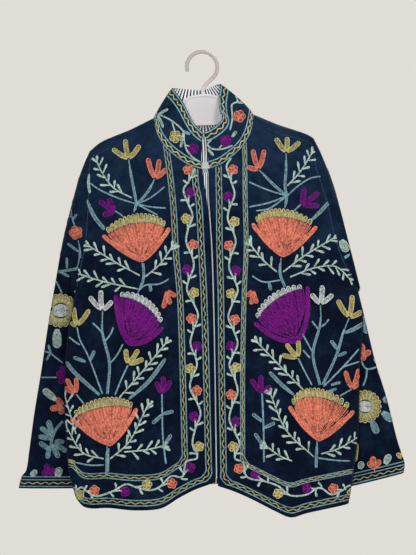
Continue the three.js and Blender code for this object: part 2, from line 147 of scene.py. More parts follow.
# how full the front and the back hang, how round the shoulder is, and how soon the cloth falls from it
FRONT_FULL, BACK_FULL, ARCH, FALL = 50, 14, 8, 60
EDGE_POWER, SHOULDER_POWER = 3, 9
SIDE_Y, ARMHOLE_HALF, NECK_X, UNDERARM_Z = -6, 24, 88, -408
SEAM_RIDGE = 2.2  # the turned-in seam allowance stands up along the armhole

shoulder_z = curve((0, -72), (88, -110), (130, -129), (160, -140), (180, -148), (192, -156), (202, -165))
# height, and where the right and the left side end there
EDGE_ROWS = (
    (-160, -201, 191), (-210, -207, 197), (-260, -210, 211), (-330, -218, 225), (-370, -228, 237),
    (-408, -236, 254), (-440, -242, 263), (-480, -251, 267), (-545, -259, 260), (-600, -262, 256),
    (-670, -261, 252), (-730, -257, 243), (-780, -245, 234), (-815, -237, 226),
)
edge_right = curve(*((z, r) for z, r, _ in EDGE_ROWS))
edge_left = curve(*((z, l) for z, _, l in EDGE_ROWS))
# height, and where the right and the left front begin there
OPENING_ROWS = (
    (-205, -7, 5.5), (-230, -4, 5), (-262, 0, 5), (-330, 3, 7.5), (-430, 3.5, 8), (-600, 1, 5.5),
    (-750, -2.5, 3),
)
opening_right = curve(*((z, r) for z, r, _ in OPENING_ROWS))
opening_left = curve(*((z, l) for z, _, l in OPENING_ROWS))
NECK_FRONT = ((5, -205), (27, -198), (44, -187), (60, -174), (72, -160), (80, -146), (85, -130), (88, -110))
NECK_BACK = ((0, -122), (30, -121), (60, -118), (80, -114), (88, -110))
neck_front, neck_back = curve(*NECK_FRONT), curve(*NECK_BACK)
hem_right = curve((-250, -768), (-232, -786), (-188, -787), (-141, -792), (-97, -790), (-65, -773),
                  (-38, -760), (-2, -748))
hem_left = curve((3, -755), (27, -764), (58, -779), (101, -802), (127, -813), (153, -808), (188, -803),
                 (232, -797))
hem_back = curve((-247, -774), (-150, -768), (0, -756), (120, -772), (232, -797))

# Upright folds: middle, width, where it begins, and how far it stands out at the hem.
FRONT_FOLDS = (
    (-168, 62, -300, 11), (-62, 48, -420, -8), (48, 46, -450, -9), (126, 52, -330, 13), (205, 36, -480, -6),
)
BACK_FOLDS = ((-130, 60, -260, 10), (-20, 52, -340, -8), (88, 58, -300, 9))

# Creases: from x, z to x, z, half-width, and height (a trough is below zero).
FRONT_CREASES = (
    (-196, -171, -100, -128, 4, 1.6), (-192, -180, -104, -139, 5, -1.5), (98, -126, 186, -163, 4, 1.6),
    (100, -137, 182, -172, 5, -1.4), (92, -140, 120, -166, 5, -3.2), (120, -166, 188, -160, 5, -2.4),
    (101, -138, 131, -158, 4, 2.2), (-106, -520, -94, -700, 9, 3.0), (-88, -500, -78, -690, 8, -2.6),
    (-150, -560, -158, -730, 10, -2.2), (-196, -420, -214, -640, 9, 2.2), (-222, -400, -238, -520, 6, -2.2),
    (-60, -215, -84, -330, 9, 1.4), (64, -560, 72, -730, 8, 2.4), (100, -600, 104, -760, 8, -3.2),
    (150, -520, 158, -760, 10, 3.4), (184, -470, 196, -720, 9, -3.0), (226, -420, 236, -600, 7, 2.4),
    (206, -380, 176, -470, 8, 1.8), (-206, -380, -176, -450, 8, 1.6), (40, -240, 56, -380, 10, -1.2),
    (-30, -300, -34, -600, 12, -1.0),
)
BACK_CREASES = (
    (-190, -186, -100, -150, 5, -1.4), (100, -150, 184, -178, 5, -1.4), (-150, -260, -172, -520, 12, 2.6),
    (-100, -420, -96, -730, 10, -3.0), (-40, -300, -52, -700, 12, 2.2), (20, -360, 16, -720, 10, -2.4),
    (70, -250, 90, -600, 12, 2.4), (130, -400, 140, -760, 10, -3.0), (180, -300, 206, -560, 10, 2.2),
    (-206, -380, -150, -450, 9, -1.8), (216, -390, 160, -460, 9, -1.8), (-60, -150, 60, -152, 9, 1.0),
)


def creases(table, x, z):
    """How far creases stand out: soft ridges, each with a slight bow."""
    out = np.zeros(np.broadcast(x, z).shape)
    for x0, z0, x1, z1, wide, high in table:
        dx, dz = x1 - x0, z1 - z0
        length = math.hypot(dx, dz)
        t = ((x - x0) * dx + (z - z0) * dz) / length**2
        off = ((x - x0) * dz - (z - z0) * dx) / length
        bow = 0.05 * length * np.sin(np.clip(t, 0, 1) * math.pi) * np.sign(x0 + 0.1)
        ends = smooth(t * 4 + 0.4) * smooth((1 - t) * 4 + 0.4)
        out += high * np.exp(-(((off + bow * 0.3) / wide) ** 2)) * ends
    return out


def drape(x, z, seed):
    """Low, uneven swells of hanging cloth."""
    a = np.sin(x / 19 + z / 83 + seed) * np.sin(z / 61 - x / 97 + 2 * seed)
    b = np.sin(x / 43 - z / 57 + 3 * seed) + 0.6 * np.sin(z / 31 + x / 23 + seed)
    return 0.55 * a + 0.45 * b


def folds(table, x, z):
    """How far upright folds stand out, growing towards the hem."""
    out = np.zeros(np.broadcast(x, z).shape)
    for middle, wide, top, high in table:
        out += high * smooth(1 - np.abs(x - middle) / wide) * smooth((top - z) / 420)
    return out


TIPS = {-1: float(shoulder_z(abs(edge_right(-160)))), 1: float(shoulder_z(abs(edge_left(-160))))}


def edge_depth(sign, z):
    """The depth of the side seam, half the armhole's width at its edge, and the swell inside it."""
    tip = np.where(sign < 0, TIPS[-1], TIPS[1])
    f = np.clip((tip - z) / (tip - UNDERARM_Z), 0, 1)
    half = ARMHOLE_HALF * np.sqrt(np.maximum(0, 1 - (2 * f - 1) ** 2)) ** 0.9
    return SIDE_Y * f, half, ARMHOLE_HALF * np.maximum(0, np.sin(math.pi * f)) ** 1.5


def body_y(forward, x, z, detail=True):
    """The depth of the front (forward is -1) or the back (1); detail adds its creases and swells."""
    sign = np.where(x < 0, -1, 1)
    drop = np.maximum(0, shoulder_z(np.abs(x)) - z)
    full = FRONT_FULL if forward < 0 else BACK_FULL
    over = ARCH * np.sqrt(np.maximum(0, 1 - (1 - np.minimum(drop / ARCH, 1)) ** 2))
    out = over + full * (1 - np.exp(-drop / FALL))
    middle, half, swell = edge_depth(sign, z)
    t = np.clip(x / np.where(sign < 0, edge_right(z), edge_left(z)), 0, 1)
    edge = forward * middle + mix(swell, half, t**22)
    round_ = mix(1, 0.5, smooth((-300 - z) / 130))
    power = mix(SHOULDER_POWER, EDGE_POWER, smooth(drop / 120))
    share = (1 - t**power) ** round_
    y = edge + (out - edge) * share + folds(FRONT_FOLDS if forward < 0 else BACK_FOLDS, x, z) * (1 - t**4)
    if detail:
        calm = smooth(drop / 14) * (1 - t**10)
        y = y + creases(FRONT_CREASES if forward < 0 else BACK_CREASES, x, z) * calm * 1.35
        y = y + drape(x, z, 1.3 if forward < 0 else 4.1) * calm * 1.3
        along = smooth((-168 - z) / 24) * smooth((z + 404) / 24)
        y = y + SEAM_RIDGE * np.exp(-(((t - 0.966) / 0.013) ** 2)) * along
    return forward * y


def normals(P):
    return unit(np.cross(np.gradient(P, axis=0), np.gradient(P, axis=1)))


def make_mesh(name, verts, faces, uvs=None, material_index=None):
    me = bpy.data.meshes.new(name)
    verts = np.asarray(verts, np.float32) * 0.001
    faces = np.asarray(faces, np.int32)
    me.vertices.add(len(verts))
    me.vertices.foreach_set("co", verts.ravel())
    sides = faces.shape[1]
    me.loops.add(faces.size)
    me.loops.foreach_set("vertex_index", faces.ravel())
    me.polygons.add(len(faces))
    me.polygons.foreach_set("loop_start", np.arange(0, faces.size, sides, dtype=np.int32))
    me.polygons.foreach_set("loop_total", np.full(len(faces), sides, np.int32))
    if material_index is not None:
        me.polygons.foreach_set("material_index", np.asarray(material_index, np.int32))
    me.update(calc_edges=True)
    me.polygons.foreach_set("use_smooth", np.ones(len(faces), bool))
    if uvs is not None:
        layer = me.uv_layers.new(name="UVMap")
        layer.data.foreach_set("uv", np.asarray(uvs, np.float32)[faces.ravel()].ravel())
    me.validate()
    obj = bpy.data.objects.new(name, me)
    bpy.context.scene.collection.objects.link(obj)
    return obj


def shell(name, P, thick, facing, materials, looped=False, wrapped=False, lift=0.0, keep=None,
          uv_scale=1.0, outward=None, lined_from=0):
    """A closed cloth wall: outer grid, inner grid and a rounded rim round every open edge.

    Its inner face has the second material from the row lined_from on.
    """
    n = normals(P) * facing if outward is None else outward
    rows, cols = P.shape[:2]
    outer, inner = P - n * lift, P - n * (lift + thick)
    if keep:
        outer, inner = keep(outer), keep(inner)
    U, V = np.meshgrid(run_along(P[rows // 2]), run_along(P[:, cols // 2]))
    if not (looped or wrapped):
        U = P[:, :, 0] - P[:, :, 0].min()
    uv = np.stack([U, V], 2).reshape(-1, 2) * 0.001 * uv_scale
    flat_outer, flat_inner = outer.reshape(-1, 3), inner.reshape(-1, 3)
    verts, uvs = [flat_outer, flat_inner], [uv, uv]
    idx = np.arange(rows * cols).reshape(rows, cols)
    wrap = np.concatenate([idx, idx[:, :1]], 1) if looped else idx
    a, b, c, d = wrap[:-1, :-1], wrap[:-1, 1:], wrap[1:, 1:], wrap[1:, :-1]
    front = np.stack([a, d, c, b], -1).reshape(-1, 4)
    back = np.stack([a, b, c, d], -1).reshape(-1, 4) + rows * cols
    faces = [front, back]
    mats = [np.zeros(len(front)), (np.arange(len(back)) // (wrap.shape[1] - 1) >= lined_from) * 1]

    def rim(ids, inside):
        o, i = flat_outer[ids], flat_inner[ids]
        m = sum(len(v) for v in verts) + np.arange(len(ids))
        verts.append((o + i) / 2 + unit(o - flat_outer[inside]) * thick * RIM_ROUND)
        uvs.append(uv[ids])
        j = np.arange(len(ids) - 1)
        faces.append(np.stack([ids[j], ids[j + 1], m[j + 1], m[j]], -1))
        faces.append(np.stack([m[j], m[j + 1], ids[j + 1] + rows * cols, ids[j] + rows * cols], -1))
        mats.extend([np.zeros(len(j)), np.zeros(len(j))])

    rim(wrap[0], wrap[1])
    rim(wrap[-1][::-1], wrap[-2][::-1])
    if not looped:
        rim(idx[::-1, 0], idx[::-1, 1])
        rim(idx[:, -1], idx[:, -2])
    F = np.vstack(faces)
    if facing < 0:
        F = F[:, ::-1]
    obj = make_mesh(name, np.vstack(verts), F, np.vstack(uvs), np.concatenate(mats))
    for m in materials:
        obj.data.materials.append(m)
    merge(obj)
    return obj, outer, n


def merge(obj, distance=0.00002):
    """Joins points that lie on one another, and turns the faces outwards."""
    bm = bmesh.new()
    bm.from_mesh(obj.data)
    bmesh.ops.remove_doubles(bm, verts=bm.verts, dist=distance)
    bmesh.ops.recalc_face_normals(bm, faces=bm.faces)
    bm.to_mesh(obj.data)
    bm.free()


# ------------------------------------------------------------------ materials
class Look:
    """A material and the nodes that colour it."""

    def __init__(self, name, colour, rough, **sockets):
        self.material = bpy.data.materials.new(name)
        self.material.use_nodes = True
        self.material.diffuse_color = (*colour, 1)
        self.nodes, self.links = self.material.node_tree.nodes, self.material.node_tree.links
        self.shader = self.nodes["Principled BSDF"]
        self.shader.inputs["Base Color"].default_value = (*colour, 1)
        self.shader.inputs["Roughness"].default_value = rough
        for key, value in sockets.items():
            self.shader.inputs[key.replace("_", " ")].default_value = value

    def place(self):
        return self.nodes.new("ShaderNodeTexCoord").outputs["Object"]

    def axes(self, source):
        n = self.nodes.new("ShaderNodeSeparateXYZ")
        self.links.new(source, n.inputs[0])
        return n.outputs

    def uv(self):
        n = self.nodes.new("ShaderNodeUVMap")
        n.uv_map = "UVMap"
        return self.axes(n.outputs[0])

    def noise(self, scale, detail, source):
        n = self.nodes.new("ShaderNodeTexNoise")
        n.inputs["Scale"].default_value = scale
        n.inputs["Detail"].default_value = detail
        self.links.new(source, n.inputs["Vector"])
        return n.outputs["Fac"]

    def math(self, op, *values):
        n = self.nodes.new("ShaderNodeMath")
        n.operation = op
        for k, v in enumerate(values):
            if isinstance(v, (int, float)):
                n.inputs[k].default_value = v
            else:
                self.links.new(v, n.inputs[k])
        return n.outputs[0]

    def fused(self, a, b, c):
        return self.math("MULTIPLY_ADD", a, b, c)

    def clamped(self, value):
        return self.math("MAXIMUM", self.math("MINIMUM", value, 1), 0)

    def paint(self, source, *stops):
        n = self.nodes.new("ShaderNodeValToRGB")
        while len(n.color_ramp.elements) < len(stops):
            n.color_ramp.elements.new(0.5)
        for e, (at, colour) in zip(n.color_ramp.elements, stops):
            e.position, e.color = at, (*colour, 1)
        self.links.new(source, n.inputs[0])
        self.links.new(n.outputs[0], self.shader.inputs["Base Color"])

    def bump(self, height, strength, distance):
        n = self.nodes.new("ShaderNodeBump")
        n.inputs["Strength"].default_value = strength
        n.inputs["Distance"].default_value = distance
        self.links.new(height, n.inputs["Height"])
        self.links.new(n.outputs[0], self.shader.inputs["Normal"])


def velvet_material():
    k = Look("velvet", (0.0028, 0.0075, 0.0185), 0.85, Sheen_Weight=0.1, Sheen_Roughness=0.27,
             Sheen_Tint=(0.22, 0.36, 0.58, 1), Specular_IOR_Level=0.06)
    at = k.place()
    nap, stroke, pile = (k.noise(scale, detail, at) for scale, detail in ((22, 3), (90, 3), (1300, 2)))
    tone = k.fused(stroke, 0.3, k.fused(pile, 0.3, k.math("MULTIPLY", nap, 0.4)))
    # painted light: the velvet is coloured lighter towards the shoulders, standing in for the light from
    # above
    tone = k.fused(k.clamped(k.fused(k.axes(at)[2], 3.4, 1.4)), 0.21, tone)
    k.paint(tone, (0.34, (0.0004, 0.0019, 0.0066)), (0.5, (0.0011, 0.0044, 0.0145)),
            (0.62, (0.0042, 0.0125, 0.031)), (0.8, (0.0095, 0.024, 0.054)))
    k.bump(k.fused(stroke, 0.5, pile), 0.6, 0.0008)
    return k.material


def lining_material():
    stripe, weave_pitch = 0.0047, 0.0006  # metres
    k = Look("striped_lining", (0.5, 0.5, 0.5), 0.85, Specular_IOR_Level=0.25)
    uv = k.uv()
    wave = k.math("PINGPONG", k.math("MULTIPLY", uv[0], 1 / stripe), 0.5)
    warp, weft = (k.math("SINE", k.math("MULTIPLY", uv[i], 2 * math.pi / weave_pitch)) for i in (0, 1))
    weave = k.math("MULTIPLY", warp, weft)
    k.paint(k.fused(weave, 0.03, wave), (0.21, (0.009, 0.011, 0.015)), (0.23, (0.03, 0.03, 0.035)),
            (0.255, (0.82, 0.85, 0.86)))
    k.bump(weave, 0.25, 0.0002)
    return k.material


THREADS = {
    "coral": (0.76, 0.215, 0.135),
    "gold": (0.55, 0.49, 0.22),
    "yellow": (0.57, 0.49, 0.19),
    "purple": (0.175, 0.0055, 0.2),
    "sage": (0.41, 0.53, 0.475),
    "teal": (0.2, 0.345, 0.385),
    "aqua": (0.22, 0.43, 0.48),
    "grey": (0.63, 0.67, 0.655),
    # seam: painted highlight, a velvet lighter than the cloth, laid along the fronts' seams
    "seam": (0.021, 0.045, 0.088),
}
DEEP = 0.76  # a darker copy of each thread: painted shade on the sleeve in the front's shade and on the low inner rows of petals, and a darker thread tone in the bands' waved rows and every third row of a fan
THREAD_SLOT = {colour: "thread_" + colour for colour in THREADS}
THREAD_SLOT.update(yellow="thread_gold", aqua="thread_teal", seam="velvet")


def thread_material(name, colour):
    k = Look(name + "_thread", colour, 0.7, Specular_IOR_Level=0.12)
    uv = k.uv()
    # each link of the chain: two strands that part and close, with painted shade in the dark eye between them
    # and along the row's edges, where the thread dips towards the cloth
    beat = k.math("PINGPONG", uv[0], 0.5)
    side = k.math("ABSOLUTE", k.math("SUBTRACT", uv[1], 0.5))
    eye = k.math("SUBTRACT", k.fused(beat, 0.3, 0.03), side)
    eye = k.math("MAXIMUM", k.math("MULTIPLY", eye, 5), 0)
    rim = k.math("MAXIMUM", k.fused(side, 4, -1.5), 0)
    twist = k.math("SINE", k.fused(uv[0], 26, k.math("MULTIPLY", side, 22)))
    at = k.place()
    patch, speck = k.noise(70, 2, at), k.noise(300, 3, at)
    shade = k.fused(twist, 0.09, k.math("MULTIPLY", patch, 0.5))
    shade = k.fused(speck, 2.1, k.math("ADD", shade, -0.73))
    # painted shade: the eye and the row's edges are darkened
    shade = k.math("SUBTRACT", shade, k.math("ADD", eye, rim))
    dark = tuple(c * 0.3 for c in colour)
    light = tuple(min(1, c * 1.3 + 0.008) for c in colour)
    k.paint(shade, (0.05, dark), (0.5, colour), (0.95, light))
    k.bump(shade, 0.8, 0.0008)
    return k.material


def plastic_material():
    k = Look("hanger_plastic", (0.62, 0.57, 0.575), 0.5, Specular_IOR_Level=0.12)
    at = k.place()
    # painted shade: the hook's slim section, above the plate, is coloured darker and pinker than the plate
    hook = k.clamped(k.fused(k.axes(at)[2], 28, 2.1))
    tone = k.fused(k.noise(14, 2, at), 0.16, k.math("MULTIPLY", hook, 0.8))
    k.paint(tone, (0.05, (0.61, 0.565, 0.57)), (0.12, (0.67, 0.62, 0.625)), (0.9, (0.44, 0.375, 0.36)))
    k.bump(k.noise(320, 3, at), 0.05, 0.0004)
    return k.material


def metal_material():
    k = Look("clasp_metal", (0.4, 0.39, 0.38), 0.6, Metallic=0.25)
    grain = k.noise(900, 2, k.place())
    k.paint(grain, (0.3, (0.34, 0.33, 0.32)), (0.7, (0.46, 0.45, 0.44)))
    k.bump(grain, 0.1, 0.0002)
    return k.material


VELVET_MAT, LINING_MAT = velvet_material(), lining_material()
PLASTIC, METAL = plastic_material(), metal_material()
THREAD_MATS = {}
for label, colour in THREADS.items():
    THREAD_MATS[label] = thread_material(label, colour)
    THREAD_MATS[label + "_deep"] = thread_material(label + "_deep", tuple(v * DEEP for v in colour))

# ------------------------------------------------------------------ fronts and back
# rows below the shoulder's edge, closer together where the cloth turns over
DROPS = np.array([0, 0.35, 0.8, 1.4, 2.2, 3.2, 4.4, 5.8, 7.4, 9.5, 12, 15, 19, 24, 30, 37, 45])


def body_grid(side, forward, inner, top_line, hem_line):
    """A half of the front or back: rows from its top edge to its hem, columns from inner to the side."""
    edge = edge_right if side < 0 else edge_left
    top = abs(float(edge(-160)))
    start = float(inner(-205)) * side
    # columns, closer together round the neck and towards the side seam
    xs = np.unique(np.concatenate([
        np.linspace(start, 58, 17), np.linspace(61, 78, 8), np.linspace(79.5, 92, 12),
        np.linspace(96, 0.93 * top, 20), np.array([0.945, 0.958, 0.97, 0.98, 0.988, 0.995, 1.0]) * top,
    ]))
    share = (xs - start) / (top - start)

    def at(s, z):
        return mix(inner(z), edge(z), s)

    def settle(line):
        """The height at which each column meets a line that is given across the body."""
        z = line(at(share, -200))
        for _ in range(14):
            z = line(at(share, z))
        return z

    tops, hems = settle(top_line), settle(hem_line)
    rows = [tops - d for d in DROPS]
    rows += [mix(tops - 45, UNDERARM_Z, s) for s in np.linspace(0, 1, 27)[1:]]
    lower = np.concatenate([np.linspace(0, 0.97, 46)[1:], [0.985, 0.995, 1]])
    rows += [mix(UNDERARM_Z, hems, s) for s in lower]
    Z = np.array(rows)
    X = at(share[None], Z)
    return np.stack([X, body_y(forward, X, Z) + forward * PROUD, Z], 2)


def top_edge(neck):
    """The upper edge of a panel: its neckline, then the shoulder."""
    return lambda x: np.where(np.abs(x) < NECK_X, neck(np.abs(x)), shoulder_z(np.abs(x)))


def own_side(forward):
    """Keeps a panel's wall on its own side of the side seam."""
    def keep(P):
        seam = edge_depth(np.where(P[..., 0] < 0, -1, 1), P[..., 2])[0] + forward * PROUD
        P = P.copy()
        P[..., 1] = np.minimum(P[..., 1], seam) if forward < 0 else np.maximum(P[..., 1], seam)
        return P

    return keep


SURFACES, VELVETS = {}, {}


def velvet(label, P, facing, inside=LINING_MAT, **options):
    obj, outer, n = shell(label + "_velvet", P, CLOTH, facing, [VELVET_MAT, inside], **options)
    SURFACES[label], VELVETS[label] = (outer, n), obj


for label, side, opening, hem in (
    ("front_right", -1, opening_right, hem_right), ("front_left", 1, opening_left, hem_left),
):
    velvet(label, body_grid(side, -1, opening, top_edge(neck_front), hem), side, keep=own_side(-1))

def middle(z):
    return np.zeros_like(np.asarray(z, float))


halves = [body_grid(sign, 1, middle, top_edge(neck_back), hem_back) for sign in (-1, 1)]
BACK = np.concatenate([halves[0][:, :0:-1], halves[1]], 1)
velvet("back", BACK, -1, keep=own_side(1))

# the lining inside the back, from beside the hanger's arms to above the hem
LINING_TOP, LINING_BOTTOM, LINING_SIDE = int(np.argmin(np.abs(DROPS - 7.4))), -4, 9  # rows and columns
LINING_BEHIND = 3.1
LINING_SHIFT = 0.0021  # brings its stripes under those of the collar's lining
LIN = BACK[LINING_TOP:LINING_BOTTOM, LINING_SIDE:-LINING_SIDE]
back_lining, _, _ = shell("back_lining_cotton", LIN, LINING, -1, [LINING_MAT], lift=LINING_BEHIND,
                          uv_scale=0.84)
for loop in back_lining.data.uv_layers["UVMap"].data:
    loop.uv.x += LINING_SHIFT

# the narrow edge of lining that shows between the fronts, with one pale stripe down its middle
PALE = curve((-150, -0.9), (-173, -0.1), (-200, -0.1), (-208, 4.1), (-268, 3.8), (-328, 6.1), (-433, 5.9),
             (-564, 3.9), (-748, 0.2))
COLLAR_FOOT = -203
STRIP_SIDE, STRIP_BEHIND, STRIP_DEEPER = 4.5, 5.0, 4  # past each front's edge, and behind it


def strip_row(z):
    y = np.interp(z, [-200, -148], [-52.5, -52])
    if z < -200:
        y = body_y(-1, np.array(0.0), np.array(z), detail=False)
    y = float(y) + STRIP_BEHIND + STRIP_DEEPER * float(smooth((-300 - z) / 200))
    ends = float(opening_right(z)) - STRIP_SIDE, float(opening_left(z)) + STRIP_SIDE
    return [(x, y, z) for x in np.linspace(*ends, 9)]


heights = np.concatenate([np.linspace(-148, -198, 12), np.linspace(-204, -742, 70)])
STRIP = np.array([strip_row(z) for z in heights])
front_strip, _, _ = shell("front_lining_edge", STRIP, LINING, 1, [LINING_MAT])
layer = front_strip.data.uv_layers["UVMap"].data
for loop in front_strip.data.loops:
    v = front_strip.data.vertices[loop.vertex_index].co * 1000
    tight, first = (1.12, 4.7) if v.z > COLLAR_FOOT else (1.4, 2.35)
    layer[loop.index].uv = (((v.x - float(PALE(v.z))) * tight + first) * 0.001, v.z * 0.001)

# ------------------------------------------------------------------ sleeves
# out x, y, z; in x, y, z; half the thickness
SLEEVE_ROWS = {
    "sleeve_right": (
        (-210, 0, -180, -238.5, -3, -411, 25), (-221, 1, -206, -240.5, 1, -414, 25),
        (-236, 3, -252, -243, 8, -418, 24), (-255, 6, -319, -236, 22, -426, 22),
        (-270, 9, -388, -226, 36, -446, 19), (-287, 11, -470, -217, 47, -492, 17),
        (-301, 12, -545, -207, 50, -563, 16), (-316, 12, -620, -206, 49, -634, 15),
        (-328, 12, -690, -212, 47, -702, 14), (-334, 12, -721, -218, 45, -733, 13),
        (-342, 12, -731, -221, 43, -742, 14), (-348, 12, -751, -224, 41, -757, 14),
    ),
    "sleeve_left": (
        (201, 0, -176, 257.5, -2, -410, 25), (211, 1, -202, 260.5, 2, -412, 25),
        (225, 3, -244, 262.5, 9, -416, 24), (239, 6, -319, 264, 24, -423, 22),
        (254, 9.5, -395, 254, 40, -446, 19.5), (271, 12.5, -475, 232, 51, -495, 19),
        (287, 12, -552, 214, 51, -566, 17), (304, 12, -614, 206, 50, -634, 15),
        (320, 12, -688, 206, 48, -708, 14), (329, 12, -720, 210, 46, -742, 13),
        (332, 12, -731, 211, 44, -755, 14), (330, 12, -748, 212, 42, -775, 14),
    ),
}
# Creases of the sleeves, as for the body.
SLEEVE_CREASES = {
    "sleeve_right": (
        (-212, -240, -226, -330, 5, -2.4), (-246, -300, -240, -380, 6, 2.0),
        (-262, -420, -240, -470, 6, -2.6), (-280, -450, -262, -480, 5, 2.2),
        (-288, -520, -262, -560, 7, -1.8), (-300, -600, -272, -690, 8, 1.8),
        (-316, -660, -300, -716, 6, -1.8), (-270, -640, -264, -716, 8, -1.6),
    ),
    "sleeve_left": (
        (208, -214, 214, -330, 4, -3.0), (214, -200, 222, -320, 4, 2.4), (232, -300, 246, -380, 6, -2.2),
        (252, -420, 268, -470, 6, 2.0), (262, -500, 286, -580, 7, -2.2), (290, -600, 300, -700, 8, 2.0),
        (306, -640, 318, -712, 6, -1.8), (270, -620, 280, -710, 8, -1.8),
    ),
}
AROUND = 96
SEAM_DIP = 2.8  # the cloth dips beside the armhole's seam
LINED_ROWS = 16  # rows from the cuff in which the lining shows inside


def sleeve(name):
    """A tube from the armhole through its rows to the cuff, and its outward directions."""
    rows = np.array(SLEEVE_ROWS[name], float)
    sign = -1 if name == "sleeve_right" else 1
    turn = np.linspace(0, 2 * math.pi, AROUND, endpoint=False)
    f = (1 - np.cos(turn)) / 2
    thick = np.sign(np.sin(turn)) * np.abs(np.sin(turn)) ** 0.9
    tip = TIPS[sign]
    z = mix(tip, UNDERARM_Z, f)
    middle, half, _ = edge_depth(np.full_like(z, sign), z)
    edge = edge_right if sign < 0 else edge_left
    armhole = np.stack([edge(z) + sign * 0.25, middle - np.sign(np.sin(turn)) * half, z], 1)
    rings = [armhole]
    for ox, oy, oz, ix, iy, iz, h in rows:
        rings.append(np.stack([mix(ox, ix, f), mix(oy, iy, f) - thick * h, mix(oz, iz, f)], 1))
    R = np.array(rings)
    # smooth along the sleeve
    knots = np.concatenate([[0], np.cumsum(np.linalg.norm(np.diff(R[:, 0], axis=0), axis=1) + 4)])
    spans = zip(knots[:-1], knots[1:])
    fine = [np.linspace(a, b, max(3, int((b - a) / 6)), endpoint=False) for a, b in spans]
    fine = np.concatenate(fine + [[knots[-1]]])
    P = np.zeros((len(fine), AROUND, 3))
    for j in range(AROUND):
        for k in range(3):
            P[:, j, k] = curve(*zip(knots, R[:, j, k]))(fine)
    # outward, from each ring's own round and not from the folded surface
    spine = P[:, :1] - P[:, AROUND // 2 : AROUND // 2 + 1]
    deep = np.linalg.norm(P[:, AROUND // 4] - P[:, 3 * AROUND // 4], axis=1)[:, None, None]
    long = np.linalg.norm(spine, axis=2, keepdims=True)
    spine = spine / long
    front = unit(np.array([0, -1.0, 0]) - spine * -spine[..., 1:2])
    n = unit(spine * np.cos(turn)[None, :, None] / long + front * np.sin(turn)[None, :, None] / deep)
    way = unit(np.gradient(P, axis=0))
    n = unit(n - way * (n * way).sum(2, keepdims=True) * 0.8)
    calm = smooth(fine / 30)[:, None] * smooth((knots[-1] - fine) / 24)[:, None]
    face = np.abs(np.sin(turn))[None]
    x, z = P[:, :, 0], P[:, :, 2]
    amount = creases(SLEEVE_CREASES[name], x, z) * 1.2 + 1.1 * drape(x * 1.4, z * 1.3, 2.2 * sign)
    amount = amount * calm * face**0.6
    dip = np.exp(-(((fine - 4) / 4.4) ** 2)) * smooth(fine / 1.6)
    amount = amount - SEAM_DIP * dip[:, None] * face
    return P + n * amount[:, :, None], n


for label in SLEEVE_ROWS:
    P, outward = sleeve(label)
    velvet(label, P, 1, looped=True, outward=outward, lined_from=len(P) - LINED_ROWS)

# ------------------------------------------------------------------ collar
# x, y and z along each half of its top edge, from the front corner to the middle of the back
COLLAR_TOP = {
    -1: ((-2.2, -57, -141.5), (-11, -56, -134), (-21, -51, -120), (-28, -43, -104), (-35, -33, -88),
         (-42, -22, -76), (-49, -10, -66), (-54, 2, -59), (-51, 11, -58.5), (-40, 17, -60), (-22, 21, -62),
         (-3, 22, -64)),
    1: ((0.2, -57, -141), (9, -57, -138), (20, -53, -131), (31, -46, -121), (34, -36, -111), (29, -25, -99),
        (28, -12, -80), (32, 1, -57), (30, 11, -54), (22, 17, -56), (11, 21, -61), (-3, 22, -64)),
}
COLLAR_BULGE = {-1: 2, 1: 5}
COLLAR_PART = 1.9  # the front edges part a little below their top corners
COLLAR_LEAN = 3.0  # the left side leans over beside the hanger


def collar_grid(rows=26, per_span=8):
    """From the neckline up to the top edge, and from the right front round the neck to the left."""
    seam = list(NECK_FRONT) + list(NECK_BACK)[::-1][1:]
    halves = {}
    for sign in (-1, 1):
        base = []
        for k, (x, z) in enumerate(seam):
            forward = -1 if k < len(NECK_FRONT) else 1
            edge = float((opening_right if sign < 0 else opening_left)(z)) if k == 0 else sign * x
            y = float(body_y(forward, np.array(edge * 1.0), np.array(z * 1.0), detail=False))
            base.append((edge - sign * 0.5 * x / NECK_X, y, z + 0.45))
        outwards = np.array([x for x, _ in seam]) / NECK_X
        halves[sign] = (np.array(base), np.array(COLLAR_TOP[sign], float), outwards)
    base = np.vstack([halves[-1][0], halves[1][0][:-1][::-1]])
    top = np.vstack([halves[-1][1], halves[1][1][:-1][::-1]])
    bulge = np.concatenate([halves[-1][2] * COLLAR_BULGE[-1], (halves[1][2] * COLLAR_BULGE[1])[:-1][::-1]])
    knots = np.arange(len(base), dtype=float)
    fine = np.linspace(0, len(base) - 1, (len(base) - 1) * per_span + 1)
    B = np.stack([curve(*zip(knots, base[:, k]))(fine) for k in range(3)], 1)
    T = np.stack([curve(*zip(knots, top[:, k]))(fine) for k in range(3)], 1)
    G = curve(*zip(knots, bulge))(fine)
    out = unit(np.stack([B[:, 0], B[:, 1] * 0.6, np.zeros(len(B))], 1))
    h = np.linspace(0, 1, rows)
    P = mix(B[None], T[None], h[:, None, None])
    P = P + out[None] * (G[None] * (4 * h * (1 - h))[:, None])[:, :, None]
    part = COLLAR_PART * smooth(h * 3)[:, None] * smooth((1 - h) * 6)[:, None]
    ends = np.exp(-((fine / 0.5) ** 2)) - np.exp(-(((fine - fine[-1]) / 0.5) ** 2))
    P[..., 0] -= part * ends[None]
    lean = np.exp(-(((fine - 18.2) / 1.3) ** 2))[None] * np.exp(-(((h - 0.72) / 0.2) ** 2))[:, None]
    return P - out[None] * (lean * COLLAR_LEAN)[:, :, None]


P = collar_grid()
velvet("collar", P, 1, inside=VELVET_MAT)
collar_lining, _, _ = shell("collar_lining_cotton", P, LINING, 1, [LINING_MAT], lift=2.9, wrapped=True,
                            uv_scale=0.66)

